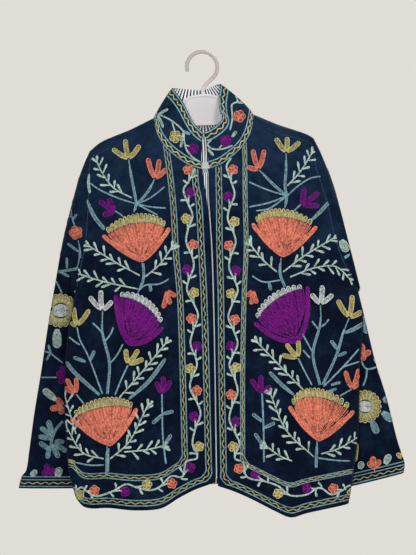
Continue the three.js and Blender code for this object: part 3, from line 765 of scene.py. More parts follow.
# ------------------------------------------------------------------ embroidery
ROW = 1.32  # width of one row of chain stitch, in drawing units
STEP = 1.6  # half a link, in millimetres
LIFT_OFF = 400  # a point starts this far off the cloth before it is dropped
STEEPEST = -0.22  # cloth that faces away more than this takes no stitch
LONGEST = 9  # a row breaks where two of its points lie further apart
TREES = {}
STITCHES = {}
FRONTS = ("front_right", "front_left")
EYES = {"eye": (EYE, PLANE_Y), "behind": (np.array([EYE[0], EYE_BACK - PLANE_Y, EYE[2]]), -PLANE_Y)}


def tree(zone):
    """The cloth of a zone, ready to be hit by rays."""
    if zone not in TREES:
        names = FRONTS if zone == "front" else (zone,)
        verts, faces, count = [], [], 0
        for name in names:
            grid = SURFACES[name][0]
            rows, cols = grid.shape[:2]
            idx = np.arange(rows * cols).reshape(rows, cols) + count
            if name.startswith("sleeve"):
                idx = np.concatenate([idx, idx[:, :1]], 1)
            corners = idx[:-1, :-1], idx[:-1, 1:], idx[1:, 1:], idx[1:, :-1]
            faces.append(np.stack(corners, -1).reshape(-1, 4))
            verts.append(grid.reshape(-1, 3))
            count += rows * cols
        TREES[zone] = BVHTree.FromPolygons(np.vstack(verts).tolist(), np.vstack(faces).tolist())
    return TREES[zone]


def ray(x, z, zone, view):
    """Where a stitch starts on its way to the cloth, and its direction."""
    if view in EYES:
        eye, y = EYES[view]
        return Vector(eye), (Vector((x, y, z)) - Vector(eye)).normalized()
    if view == "outside":  # seen from beside a sleeve, where x is the depth
        way = Vector((-1 if zone == "sleeve_left" else 1, 0, 0))
        return Vector((0, x, z)) - way * LIFT_OFF, way
    return Vector((x, -LIFT_OFF, z)), Vector((0, 1, 0))


def drop(flat, zone, view):
    """Drops millimetre points of the drawing's plane on to a zone: runs of (points, normals)."""
    runs = [[]]
    for x, z in flat:
        start, way = ray(x, z, zone, view)
        place, normal, _, _ = tree(zone).ray_cast(start, way)
        if place is None:
            runs.append([])
            continue
        if normal.dot(way) > 0:
            normal = -normal
        steep = normal.dot(way) > STEEPEST
        if steep or (runs[-1] and (place - runs[-1][-1][0]).length > LONGEST):
            runs.append([])
        if not steep:
            runs[-1].append((place, normal))
    return [(np.array([p[0] for p in r]), np.array([p[1] for p in r])) for r in runs if len(r) > 2]


def ribbon(P, N, colour, zone, width, high=0.95, lift=0.0):
    """A row of chain stitch: two strands with a groove, swelling at each link."""
    if zone == "sleeve_right":  # this sleeve hangs in the front's shade
        colour = deep(colour)
    for _ in range(2):
        N = np.vstack([N[:1], (N[:-2] + N[1:-1] + N[2:]) / 3, N[-1:]])
    S = unit(np.cross(np.gradient(P, axis=0), N))
    n = len(P)
    k = np.arange(n)
    beat = (k % 2)[:, None]
    end = np.where((k == 0) | (k == n - 1), 0.45, 1)
    half = (np.broadcast_to(width, (n,)) * end / 2)[:, None] * (0.88 + 0.14 * beat)
    tall = high * np.minimum(1, np.minimum(k, n - 1 - k) * 0.5 + 0.5)[:, None] * (0.82 + 0.18 * beat)
    rows = []
    for across, up in ((-1, 0), (-0.58, 1.0), (0, 0.5), (0.58, 1.0), (1, 0)):
        base = -0.35 if up == 0 else lift
        rows.append(P + S * half * across + N * (tall * up + base))
    V = np.stack(rows, 1)
    U = np.stack(np.broadcast_arrays((k / 2.0)[:, None], np.array([0, 0.22, 0.5, 0.78, 1])[None]), 2)
    idx = np.arange(n * 5).reshape(n, 5)
    F = np.stack([idx[:-1, :-1], idx[1:, :-1], idx[1:, 1:], idx[:-1, 1:]], -1).reshape(-1, 4)[:, ::-1]
    STITCHES.setdefault((zone, colour), []).append((V.reshape(-1, 3), F, U.reshape(-1, 2)))


def turned(way, angle):
    """A flat direction, turned by an angle."""
    c, s = math.cos(angle), math.sin(angle)
    return np.array([way[0] * c - way[1] * s, way[0] * s + way[1] * c])


def ring(count):
    """Points once round a circle of radius 1, the last on the first."""
    turn = np.linspace(0, 2 * math.pi, count)
    return np.stack([np.cos(turn), np.sin(turn)], 1)


def deep(colour):
    """The darker copy of a thread: painted shade where a thread lies in shade, and a darker tone of the
    thread in the bands and fans.
    """
    return colour if colour.endswith("_deep") else colour + "_deep"


class Pen:
    """Draws motifs in drawing units on one zone, seen one way."""

    def __init__(self, zone, view="eye", turn=None):
        self.zone, self.view, self.turn = zone, view, turn

    def row(self, points, colour, width=ROW, high=0.95, lift=0.0, dense=False):
        p = points if dense else through(points, STEP / UNIT)
        if self.turn is not None:
            p = self.turn(p)
        if np.ndim(width):
            width = np.interp(np.linspace(0, 1, len(p)), np.linspace(0, 1, len(width)), width)
        at = 0
        for P, N in drop(plane(p) if self.view in EYES else p, self.zone, self.view):
            zone = self.zone if self.zone != "front" else FRONTS[int(P[:, 0].mean() >= 0)]
            w = width[at : at + len(P)] if np.ndim(width) else width
            if np.ndim(w) and len(w) != len(P):
                w = np.mean(width)
            at += len(P)
            ribbon(P, N, colour, zone, w * UNIT, high, lift)

    # each motif: size, then its points
    def line(self, colour, size, *pts):
        self.row(pts, colour, size or ROW * 1.32)

    def stem(self, colour, size, *pts):
        """Two rows that close to one at the far end."""
        p = through(pts, STEP / UNIT)
        side = sideways(p)
        s = np.linspace(0, 1, len(p))[:, None]
        off = 0.74 * (1 - smooth((s - 0.6) / 0.4))
        self.row(p + side * off, colour, ROW * 1.06, dense=True)
        m = max(3, int(len(p) * 0.86))
        self.row((p - side * off)[:m], colour, ROW * 1.06, dense=True)

    def lobe(self, colour, wide, *pts, blunt=0.35, lift=0.12, tail=0.6):
        """A petal or leaf: rows laid round and round inside it, from its foot to its tip."""
        p = through(pts, 0.8)
        length = np.linalg.norm(np.diff(p, axis=0), axis=1).sum()
        count = int(round(wide / ROW))
        if count < 2 or length < 2.6:
            self.row(p, colour, [wide * 0.6, wide, wide * 1.05, wide * 0.85], lift=lift, high=1.0)
            return
        side = sideways(p)
        s = np.linspace(0, 1, len(p))
        gap = wide / count
        turn_in = np.clip(wide * 0.5 / length, 0.12, 0.5)
        round_ = np.sqrt(np.maximum(0, 1 - (np.maximum(0, s - 1 + turn_in) / turn_in) ** 2))
        swell = mix(tail, 1, smooth(s / blunt)) * round_
        for k in range(count // 2):
            share = 1 - (2 * k + 1) / count
            depth = (k + 0.5) * gap
            m = len(p[: max(4, int(round(len(p) * (1 - depth / length))))])
            off = side[:m] * (wide / 2) * share * np.interp(np.linspace(0, 1, m), s, swell)[:, None]
            loop = np.vstack([p[:m] + off, (p[:m] - off)[::-1]])
            keep = [0]
            for j in range(1, len(loop)):
                if np.linalg.norm(loop[j] - loop[keep[-1]]) > 0.4:
                    keep.append(j)
            if len(keep) > 3:
                shade = deep(colour) if k == 1 and count < 6 else colour
                self.row(loop[keep], shade, gap * 0.97, lift=lift, high=1.0 - 0.2 * k)
        if count % 2:
            core = p[: max(4, int(len(p) * (1 - 0.45 * wide / length)))]
            self.row(core, deep(colour), gap * 1.05, lift=lift, high=0.7)

    def leaf(self, colour, size, *pts):
        self.lobe(colour, (size or 3.0) * 1.12, *pts, blunt=0.4, tail=0.5)

    def tulip(self, colour, size, foot, *tips):
        foot = np.array(foot, float)
        for tip in tips:
            tip = np.array(tip, float)
            d = tip - foot
            mid = foot + d * 0.5 + np.array([-d[1], d[0]]) * 0.04 * np.sign(d[0] + 0.01)
            pts = foot + d * 0.06, mid, tip + d * 0.06
            self.lobe(colour, (size or 4.6) * 1.12, *pts, lift=0.2, blunt=0.3, tail=0.62)

    def sprig(self, colour, size, *pts):
        """A stem with short leaves on alternate sides and a forked end."""
        p = through(pts, STEP / UNIT)
        self.row(p, colour, ROW * 1.25, dense=True)
        run = run_along(p)
        at, side, k = (size or 0.14) * run[-1], 1, 0
        while at < run[-1] - 1.5:
            q, ahead = read_off([at, at + 1.5], run, p)
            way = unit(ahead - q)
            d = turned(way, side * math.radians(46 + 12 * math.sin(3.1 * k + at)))
            long = 8.9 + 1.7 * math.sin(2.3 * k + 1)
            leaf = [q + d * 0.6, q + d * long * 0.55 + way * 0.5, q + d * long + way * 0.9]
            self.row(leaf, colour, [1.4, 1.6, 2.0, 2.7, 2.9, 2.2], lift=0.1)
            at += 4.6 + 0.8 * math.sin(1.7 * k)
            side, k = -side, k + 1
        way = unit(p[-1] - p[-4])
        for turn in (-0.5, 0.45):
            d = turned(way, turn)
            leaf = [p[-1] - way, p[-1] + d * 3.4, p[-1] + d * 6.4]
            self.row(leaf, colour, [1.6, 1.9, 2.8, 3.4, 2.6], lift=0.1)

    def rosette(self, colour, size, *centres):
        for c in np.array(centres, float):
            r = size or 5.0
            petals, wide = (4, 1.3) if colour == "purple" else (5, 1.02)
            first = 0.7 * math.sin(c[0] * 1.3 + c[1])
            for j in range(petals):
                d = turned((1, 0), first + 2 * math.pi * j / petals)
                u = np.array([-d[1], d[0]]) * 0.1
                pts = c + d * 0.05 * r, c + d * 0.5 * r + u, c + d * r * 1.02
                self.lobe(colour, r * wide, *pts, lift=0.15, blunt=0.5, tail=0.35)
            self.row(c + ring(7) * r * 0.16, colour, ROW * 0.9, lift=0.4)

    def fan(self, colour, size, left, right, foot, top, crown, rim, p=1.55):
        """A carnation: a cup of radial rows in a double outline, two pointed ears, and a scalloped rim."""
        L, R, B, T, M = (np.array(v, float) for v in (left, right, foot, top, crown))
        mid, half = (L + R) / 2, (R - L) / 2
        up = (T - B) / np.linalg.norm(T - B)

        def low(a, scale=1.0):
            """The cup's outline, from the left ear round the foot to the right ear."""
            c, s = math.cos(a), math.sin(a)
            q = mid + half * math.copysign(abs(c) ** p, -c) + (B - mid) * abs(s) ** p
            return T + (q - T) * scale

        def high(t):
            """The cup's upper edge, from left to right."""
            a, b = mix(L, R, 0.085), mix(R, L, 0.085)
            return mix(a, b, t) + (T - mix(a, b, 0.5)) * (1 - (2 * t - 1) ** 2) ** 0.8

        for inset, a0 in ((0.7, 0.05), (2.0, 0.16), (3.3, 0.36), (4.6, 0.46), (5.9, 0.56)):
            scale = 1 - inset / np.linalg.norm(B - T)
            outline = [low(a, scale) for a in np.linspace(a0, math.pi - a0, 19)]
            self.row(outline, colour, ROW * 0.9, lift=0.15)
        focus = mix(B, T, 0.1)
        count = int(np.linalg.norm(R - L) * 0.9 / 1.22)
        for k in range(count + 1):
            t = k / count
            reach = 0.03 if k % 8 == 0 else 0.15 if k % 4 == 0 else 0.27 if k % 2 == 0 else 0.45
            reach += 0.05 * math.sin(2.7 * k + L[0])
            a = high(t)
            hug = low(math.pi * (0.22 if t < 0.5 else 0.78), 0.86)
            edge = high(0.0 if t < 0.5 else 1.0)
            push = (hug - mix(edge, focus, 0.5)) * abs(2 * t - 1) ** 1.2 * 1.5
            f = np.linspace(reach, 1, 9)[:, None]
            path = (1 - f) ** 2 * focus + 2 * f * (1 - f) * (mix(focus, a, 0.5) + push) + f**2 * a
            path[-1] += unit(path[-1] - path[-2]) * (0.7 if k % 2 else -0.3)
            slit = 0.7 if k % 9 in (3, 4) else 1.0
            self.row(path, deep(colour) if k % 3 == 1 else colour, ROW * slit, lift=0.12 * (k % 3))
        for tip, at in ((L, 0.2), (R, 0.8)):
            start = low(math.pi * at, 0.9)
            bend = mix(start, tip, 0.5) + (B - T) * 0.03
            self.lobe(colour, 4.6, start, bend, tip, lift=0.25, blunt=0.3, tail=0.6)
        loops = int(size or 15)
        tall = np.linalg.norm(M - T)
        origin = mix(B, T, -0.15)
        for k in range(loops):
            t = (k + 0.5) / loops
            a = high(t)
            d = (a - origin) / np.linalg.norm(a - origin) + up * 0.45
            d /= np.linalg.norm(d)  # exact, because it settles how many steps a petal's rows have
            long = tall * (0.62 + 0.38 * (1 - (2 * t - 1) ** 2)) * 1.02
            w = np.linalg.norm(high(min(1, t + 0.5 / loops)) - high(max(0, t - 0.5 / loops))) * 1.08
            pts = a + d * 0.2, a + d * long * 0.55, a + d * long
            self.lobe(rim, min(w, 5.0), *pts, lift=0.2, blunt=0.4, tail=0.9)

    def draw(self, *tables):
        for kind, colour, size, *rest in sum(tables, ()):
            MOTIFS[kind](self, colour, size, *rest)


MOTIFS = {
    "line": Pen.line, "stem": Pen.stem, "leaf": Pen.leaf, "sprig": Pen.sprig,
    "tulip": Pen.tulip, "rosette": Pen.rosette, "fan": Pen.fan,
}

# Kind, thread, size, points (drawing units). A size of 0 is the usual one. A fan's points are its left and
# right ears, its foot, its upper edge and its rim's top; then its rim's thread and how square its cup is.
PANEL_RIGHT = (
    ("tulip", "yellow", 4.6, (128.5, 159), (113, 149), (125.5, 140), (139.5, 145.5)),
    ("stem", "teal", 0, (136.5, 204), (134, 190), (131, 175), (128.5, 159)),
    ("tulip", "coral", 4.6, (155, 179), (148, 159), (159, 160), (166, 169)),
    ("stem", "teal", 0, (136.5, 204), (142, 199), (149, 190), (154.5, 179)),
    ("sprig", "sage", 0.2, (132, 198), (115, 189), (104, 176), (97, 162)),
    ("line", "teal", 0, (90, 183), (100, 190), (118, 198), (136.5, 204)),
    ("leaf", "sage", 2.6, (89, 174), (88.5, 184), (90, 194)),
    ("line", "teal", 0, (136.5, 204), (150, 198), (164.5, 187)),
    ("line", "teal", 0, (136.5, 204), (152, 207), (165.6, 208)),
    ("line", "teal", 0, (136.5, 204), (148, 210), (157.6, 215)),
    ("stem", "teal", 0, (136.5, 204), (134, 212.5)),
    ("leaf", "teal", 3.6, (87, 200), (94, 216), (105, 230)),
    ("tulip", "purple", 5.0, (115, 211), (100, 201), (109, 198.5), (103, 215)),
    ("line", "teal", 0, (115, 211), (120, 214), (123, 216.5)),
    ("fan", "coral", 15, (102.5, 235), (169.6, 227.4), (142, 262.5), (138, 223), (139, 213), "gold"),
    ("stem", "teal", 0, (143, 263), (143.5, 278), (138, 292.6)),
    ("sprig", "sage", 0.2, (140, 275.6), (115, 262), (89, 246)),
    ("sprig", "sage", 0.2, (145, 277), (160, 264), (172, 247)),
    ("sprig", "sage", 0.2, (138, 289), (105, 282), (79, 274)),
    ("line", "teal", 0, (139, 290), (146, 285), (159, 284), (169, 279)),
    ("leaf", "teal", 3.0, (150, 284.5), (151, 292)),
    ("tulip", "coral", 4.4, (167, 290.6), (176, 296), (170.5, 304), (163, 307.5)),
    ("tulip", "grey", 4.6, (102.5, 310.4), (90, 297), (101, 291), (112, 301)),
    ("stem", "teal", 0, (107.4, 394), (109.4, 363), (102.5, 333), (102.5, 311)),
    ("line", "teal", 2.0, (102.5, 333), (97, 327), (92.6, 323)),
    ("line", "teal", 2.0, (104, 342), (110, 335), (113.4, 327)),
    ("fan", "purple", 11, (115.4, 294.6), (163.3, 327), (128, 345), (143.5, 305), (148.5, 298.5),
     "grey", 1.3),
    ("line", "teal", 0, (123, 344), (117, 355), (110.4, 363)),
    ("tulip", "yellow", 4.4, (77, 326), (74, 308), (89, 310), (71, 322)),
    ("line", "teal", 1.8, (77, 327), (80, 340), (89, 358), (102.5, 394)),
    ("line", "teal", 2.0, (80, 345), (74, 341), (69, 337)),
    ("leaf", "teal", 3.2, (86, 362), (73, 357)),
    ("leaf", "teal", 3.2, (90, 361), (94.6, 350)),
    ("tulip", "yellow", 4.6, (128, 364), (126, 349.5), (138, 350), (143, 359)),
    ("line", "teal", 1.8, (128, 365), (121, 380), (115, 395)),
    ("sprig", "sage", 0.1, (119, 398), (142, 372), (166, 343)),
    ("leaf", "teal", 3.6, (129, 399), (149, 381), (166, 358)),
    ("tulip", "purple", 4.8, (162, 393.5), (156.5, 382), (163, 377), (170.5, 381)),
    ("line", "teal", 2.0, (162, 394), (162.5, 429), (164, 448), (166, 464)),
    ("leaf", "teal", 3.4, (163, 414), (152, 424)),
    ("leaf", "teal", 3.4, (163, 414), (174, 411)),
    ("leaf", "teal", 3.4, (163, 448), (171.5, 434)),
    ("leaf", "teal", 3.6, (99.5, 395), (75, 373), (66, 361)),
    ("tulip", "coral", 4.2, (76, 393.5), (67, 379), (76, 378), (64.5, 387)),
    ("line", "teal", 0, (76, 394), (84, 404)),
    ("fan", "coral", 15, (71, 418), (137, 408), (110, 446.5), (105, 407), (105, 397), "gold"),
    ("stem", "teal", 0, (106.6, 475), (107, 446)),
    ("line", "teal", 0, (108.4, 472), (108.6, 448)),
    ("line", "teal", 0, (76, 462.6), (90, 465.2), (104, 465)),
    ("leaf", "yellow", 3.4, (67, 460), (76, 463)),
    ("sprig", "sage", 0.1, (104, 459), (82, 452), (66.5, 427)),
    ("sprig", "sage", 0.1, (76, 434), (70, 413.5), (65, 396)),
    ("sprig", "sage", 0.1, (110, 459), (129, 442), (143, 415), (148, 405)),
    ("sprig", "sage", 0.2, (124, 452), (145, 450), (163, 446)),
)
PANEL_LEFT = (
    ("tulip", "coral", 4.6, (258.6, 169.5), (253, 150), (264, 150.5), (247.5, 167)),
    ("stem", "teal", 0, (287, 196), (275, 186), (258.6, 169.5)),
    ("tulip", "yellow", 4.6, (286, 152.5), (276, 138.5), (287, 137.5), (299.5, 142)),
    ("stem", "teal", 0, (287, 196), (285, 186), (286, 170), (286, 153)),
    ("sprig", "sage", 0.1, (287, 186), (300, 172), (312, 153)),
    ("leaf", "sage", 2.4, (319, 163), (321, 174)),
    ("leaf", "sage", 2.4, (323, 173), (327, 183)),
    ("line", "teal", 0, (287, 196), (298, 186), (311, 178), (325, 176)),
    ("line", "teal", 0, (287, 196), (268, 190), (249, 182)),
    ("line", "teal", 0, (287, 196), (268, 203), (249, 207)),
    ("line", "teal", 0, (287, 196), (270, 208), (256, 211)),
    ("stem", "teal", 0, (287, 196), (285, 208)),
    ("tulip", "purple", 5.0, (301, 204), (304, 187.5), (318, 193), (318.5, 205.5)),
    ("line", "teal", 0, (301, 204), (294, 211)),
    ("leaf", "teal", 3.4, (311, 220.5), (320, 212), (330, 201)),
    ("fan", "coral", 15, (252, 223), (317, 226), (283, 257.5), (280, 217), (281, 208), "gold"),
    ("stem", "teal", 0, (285, 287), (280, 273), (281, 258)),
    ("sprig", "sage", 0.2, (277, 272), (263, 260), (250.6, 245)),
    ("sprig", "sage", 0.16, (283, 272), (307, 254), (334, 238)),
    ("sprig", "sage", 0.16, (290, 277), (314, 268), (335.5, 266.5), (350, 279)),
    ("line", "teal", 0, (281, 280), (264, 282), (252, 276)),
    ("leaf", "teal", 3.0, (269, 282), (271, 291)),
    ("tulip", "coral", 4.4, (253, 290.5), (246.5, 296), (251, 304), (257, 303)),
    ("fan", "purple", 11, (254, 322.5), (307.5, 286), (299, 342.5), (276.5, 299.5), (272.5, 293),
     "grey", 1.3),
    ("line", "teal", 0, (302, 333), (313, 353)),
    ("tulip", "grey", 4.6, (320.5, 304), (311.5, 294), (322, 286), (332.5, 294.5)),
    ("stem", "teal", 0, (320, 385), (313, 354), (320, 325), (320.5, 305)),
    ("line", "teal", 2.0, (319, 330), (315, 325), (312, 321)),
    ("line", "teal", 2.0, (319, 328), (325, 324), (329, 319)),
    ("line", "teal", 2.0, (310, 358), (303, 350)),
    ("tulip", "yellow", 4.8, (349, 317.5), (338, 300.5), (352, 296), (363, 311)),
    ("stem", "teal", 0, (322.6, 385), (336.5, 355), (343, 333), (349, 318)),
    ("leaf", "teal", 3.8, (344, 333), (354, 329), (364, 323)),
    ("leaf", "teal", 3.4, (338, 350), (330.5, 340)),
    ("leaf", "teal", 3.0, (338, 356), (347, 352)),
    ("line", "teal", 2.0, (323.6, 386.5), (343, 367), (359, 349)),
    ("line", "teal", 1.8, (343, 367), (361, 361)),
    ("leaf", "teal", 2.6, (331, 385), (341, 382)),
    ("leaf", "teal", 2.6, (328, 392), (337, 388.5)),
    ("tulip", "coral", 4.4, (352, 389), (345.5, 371.5), (358.5, 369.5), (360, 381)),
    ("line", "teal", 0, (352, 389), (340, 396)),
    ("tulip", "yellow", 4.4, (298, 357.5), (286.5, 344), (298, 341), (282.5, 355)),
    ("line", "teal", 1.8, (298, 358), (305, 372), (312, 385)),
    ("sprig", "sage", 0.08, (303, 389.5), (280, 366), (257, 342)),
    ("leaf", "teal", 3.6, (294, 395), (281, 384), (269, 371.5)),
    ("tulip", "purple", 4.8, (262, 393), (251.5, 379.5), (261, 376), (270.5, 386)),
    ("line", "teal", 2.0, (262, 393), (263.5, 425), (264, 462)),
    ("leaf", "teal", 3.4, (263, 422), (252, 413.5)),
    ("leaf", "teal", 3.4, (264, 428), (275.5, 422.5)),
    ("leaf", "teal", 3.4, (263.5, 446), (254.5, 433)),
    ("fan", "coral", 15, (289, 406), (354, 410.5), (319, 441.5), (315, 397), (317, 387.5), "gold"),
    ("stem", "teal", 0, (316, 468), (317, 441)),
    ("line", "teal", 0, (318, 458), (336, 460.4), (350, 461)),
    ("sprig", "sage", 0.1, (321, 454), (340, 448), (358, 437)),
    ("sprig", "sage", 0.1, (314, 457), (286, 430), (270.5, 394)),
    ("sprig", "sage", 0.1, (292, 461), (280, 456), (266, 446)),
)
# rosettes down the front edge and along the hem: thread, x, y
VINE_RIGHT = (
    ("coral", 188, 169), ("purple", 190, 192), ("yellow", 186, 218), ("coral", 193, 244),
    ("purple", 187, 269), ("yellow", 194, 292), ("coral", 191.5, 318), ("purple", 197, 345.5),
    ("yellow", 190, 368), ("coral", 197, 390), ("purple", 194, 416), ("yellow", 199, 446),
    ("purple", 190.6, 467), ("coral", 172, 483), ("yellow", 147, 484), ("purple", 125, 491),
    ("coral", 94.6, 489.6), ("yellow", 79.5, 494),
)
VINE_LEFT = (
    ("coral", 233, 169), ("purple", 228, 196), ("yellow", 234.5, 221), ("coral", 229, 245),
    ("purple", 236, 270), ("yellow", 231, 293), ("coral", 235, 319), ("purple", 231, 345.5),
    ("yellow", 236, 367), ("coral", 231, 394), ("purple", 236, 421), ("yellow", 233, 446),
    ("coral", 239, 468), ("purple", 255.5, 474), ("yellow", 278, 493), ("purple", 307, 488),
    ("coral", 333.5, 488), ("yellow", 352, 492),
)


def vine(pen, flowers, first, last):
    """A pale stem that bows past each rosette, with a stalk to it and a stub of a leaf at each node."""
    c = np.array([first] + [(x, y) for _, x, y in flowers] + [last], float)
    way = unit(np.gradient(c, axis=0))
    side = np.stack([-way[:, 1], way[:, 0]], 1)
    points = [c[0]]
    for k in range(1, len(c) - 1):
        bow = np.cross(c[k + 1] - c[k - 1], c[k] - c[k - 1])
        sign = np.sign(bow) if abs(bow) > 12 else (1 if k % 2 else -1)
        on, off = way[k], side[k] * sign
        node = c[k] + on * min(np.linalg.norm(c[k + 1] - c[k]) * 0.52, 12.5) - off
        points += [c[k] - off * 6.6 - on * 1.5, node]
        pen.row([node - on * 0.8, mix(node, c[k], 0.55) - off * 0.7, c[k] + on * 3.0], "sage", 1.9, lift=0.05)
        q = node - on * 3.4 - off * 1.6
        tip = q - off * 6.8 - on * (2.6 if k % 2 else 0.2)
        pen.row([q, q - off * 2.6 - on * 0.8, tip], "sage", [1.5, 1.9, 2.8, 2.3], lift=0.1)
        if k % 3 != 0:
            q = node + on * 2.5
            tip = q + off * 5.8 - on * 3.6
            pen.row([q, q + off * 3 - on * 1.2, tip], "sage", [1.5, 1.9, 2.6, 2.2], lift=0.1)
    points.append(c[-1])
    pen.row(points, "sage", 2.05)
    for colour, x, y in flowers:
        pen.rosette(colour, 5.5 if colour != "purple" else 5.3, (x, y + 0.6))


# The bands beside the front edges: where the middle row runs, and its distance from the hem.
BAND_X = {
    ("right", "outer"): curve((-187, -18.4), (-231, -18), (-257, -13.8), (-345, -12), (-430, -10.5),
                              (-560, -11), (-740, -13)),
    ("right", "inner"): curve((-150, -69), (-187, -64.5), (-262, -58.4), (-350, -56.3), (-430, -52),
                              (-560, -52), (-740, -54)),
    ("left", "outer"): curve((-187, 23), (-231, 22), (-257, 21.7), (-345, 19.5), (-430, 18.8),
                             (-560, 15.5), (-740, 13)),
    ("left", "inner"): curve((-187, 69), (-257, 67), (-345, 65.5), (-430, 59), (-560, 52), (-740, 46)),
}
# side, which band, its middle's height over the hem, half its width, height of its wave
BANDS = (
    ("right", "outer", 12, 4.7, 1.4),
    ("right", "inner", 56, 4.3, 1.05),
    ("left", "outer", 12, 4.6, 1.45),
    ("left", "inner", 56, 3.2, 0.8),
)
BAND_WAVE = 15.5


def band_path(side, which, off, low):
    """Millimetre points of a band's row: down beside the front edge, round the corner, out along the hem."""
    sign = -1 if side == "right" else 1
    hem = hem_right if sign < 0 else hem_left
    middle = BAND_X[side, which]
    corner_x = float(middle(-740)) + sign * off
    corner_z = float(hem(corner_x)) + low
    zs = np.linspace(-112, corner_z + 8, 60)
    xs = np.linspace(abs(corner_x) + 8, 264, 34) * sign
    down = np.stack([middle(zs) + sign * off, zs], 1)
    return np.vstack([down, np.stack([xs, hem(xs) + low], 1)])


def band(pen, side, which, low, gap, high):
    """Two plain rows with a waved one between them."""
    for off in (-gap, gap):
        pen.row(through(band_path(side, which, off, low + off), STEP), "teal", 1.3, dense=True)
    p = through(band_path(side, which, 0, low), STEP)
    s = np.arange(len(p)) * STEP
    p = p + sideways(p) * (high * np.sin(2 * math.pi * s / BAND_WAVE + 0.6 * np.sin(s / 50)))[:, None]
    pen.row(p, "yellow_deep", 1.25, dense=True, lift=0.1)


front, flat = Pen("front"), Pen("front", "flat")
front.draw(PANEL_RIGHT, PANEL_LEFT)
for row in BANDS:
    band(flat, *row)
vine(front, VINE_RIGHT, (190, 158), (66, 490))
vine(front, VINE_LEFT, (231, 158), (366, 486))


def drawn(X, Z):
    """Drawing units of a millimetre point in the drawing's plane."""
    c, s = math.cos(TILT), math.sin(TILT)
    x, y = X / UNIT, -Z / UNIT
    return np.array([x * c + y * s + DRAW_ORIGIN[0], -x * s + y * c + DRAW_ORIGIN[1]])


# painted highlight: rows of lighter blue velvet along the fronts' seams at the armholes and behind the
# shoulders, where the folded pile catches the light
for sign, edge in ((-1, edge_right), (1, edge_left)):
    front.row([drawn(float(edge(z)) - sign * 2.6, z) for z in np.linspace(-180, -402, 9)], "seam", 1.2, 0.8)
front.row([(87, 163), (95, 155), (114, 146.5), (129, 140)], "seam", 0.95, 0.7)
front.row([(266, 128), (279, 133.5), (297, 138), (313, 145)], "seam", 0.95, 0.7)


def edge_row(zone, away, colour, width, high=0.0, long=15.5, first=False, lift=0.0):
    """A row at one distance from a grid's last (or first) edge, or waved about it, on the cloth itself."""
    grid, norm = SURFACES[zone]
    if not first:
        grid, norm = grid[::-1], norm[::-1]
    depth = [run_along(grid[:, j]) for j in range(grid.shape[1])]

    def at(d, values):
        rows = np.array([read_off([d], depth[j], values[:, j])[0] for j in range(len(depth))])
        return np.vstack([rows, rows[:1]]) if zone.startswith("sleeve") else rows

    A = at(away - high, grid)
    run = run_along(A)
    s = np.linspace(0, run[-1], int(run[-1] / STEP) + 1)
    f = (0.5 + 0.5 * np.sin(2 * math.pi * s / long + 0.6 * np.sin(s / 40)))[:, None]
    P = mix(read_off(s, run, A), read_off(s, run, at(away + high, grid)), f)
    ribbon(P, unit(read_off(s, run, at(away - high, norm))), colour, zone, width * UNIT, 0.95, lift)


# collar: two plain rows and a waved one along its top, and the same along its foot
for away in (1.6, 15.0):
    edge_row("collar", away, "aqua", 1.6)
edge_row("collar", 8.2, "yellow", 1.5, 1.8, lift=0.1)
edge_row("collar", 1.4, "teal", 1.5, first=True)
edge_row("collar", 12.0, "aqua", 1.4, first=True)
edge_row("collar", 6.4, "yellow", 1.5, 1.7, first=True, lift=0.1)
collar = Pen("collar")
collar.draw((
    ("line", "sage", 1.9, (158.3, 114), (171.7, 120.8), (183, 131), (184, 140), (186.7, 150),
     (193, 157.5), (200, 162)),
    ("leaf", "sage", 2.6, (158.5, 114.5), (168.5, 108.6)),
    ("leaf", "sage", 2.6, (158, 115), (163.5, 128)),
    ("line", "sage", 1.7, (172, 122), (175, 132)),
    ("leaf", "sage", 2.4, (183, 133), (180.6, 148)),
    ("leaf", "aqua", 2.6, (183, 131), (190.5, 134.5)),
    ("line", "sage", 1.6, (185.5, 145), (190, 146.5)),
    ("rosette", "yellow", 6.6, (175.4, 136.7)),
    ("rosette", "purple", 5.6, (193.6, 149)),
    ("line", "sage", 1.9, (211.2, 139.6), (207.6, 144.6), (213, 149), (222.5, 149), (232.5, 145.5)),
    ("leaf", "sage", 2.4, (207.5, 148.5), (214, 156)),
    ("line", "sage", 1.6, (219, 148), (222, 145)),
    ("rosette", "purple", 6.0, (225.8, 140.8)),
    ("line", "sage", 2.0, (234, 93), (237.5, 101), (231.8, 105), (232.4, 118), (230, 130)),
    ("leaf", "sage", 2.4, (236, 102), (244.5, 103)),
    ("rosette", "coral", 6.6, (239.3, 116.2)),
    ("leaf", "sage", 3.0, (232, 137), (236.8, 130.6)),
))
# the collar's hidden half carries the same sort of vine
collar_back = Pen("collar", "behind")
collar_back.draw((
    ("line", "sage", 1.9, (172, 100), (184, 104), (196, 100), (208, 104), (220, 99), (230, 103)),
    ("leaf", "sage", 2.4, (184, 103), (187, 109)),
    ("leaf", "sage", 2.4, (208, 103), (211, 109)),
    ("rosette", "coral", 5.2, (178, 107)),
    ("rosette", "yellow", 5.2, (199, 107)),
    ("rosette", "purple", 5.2, (222, 106)),
))

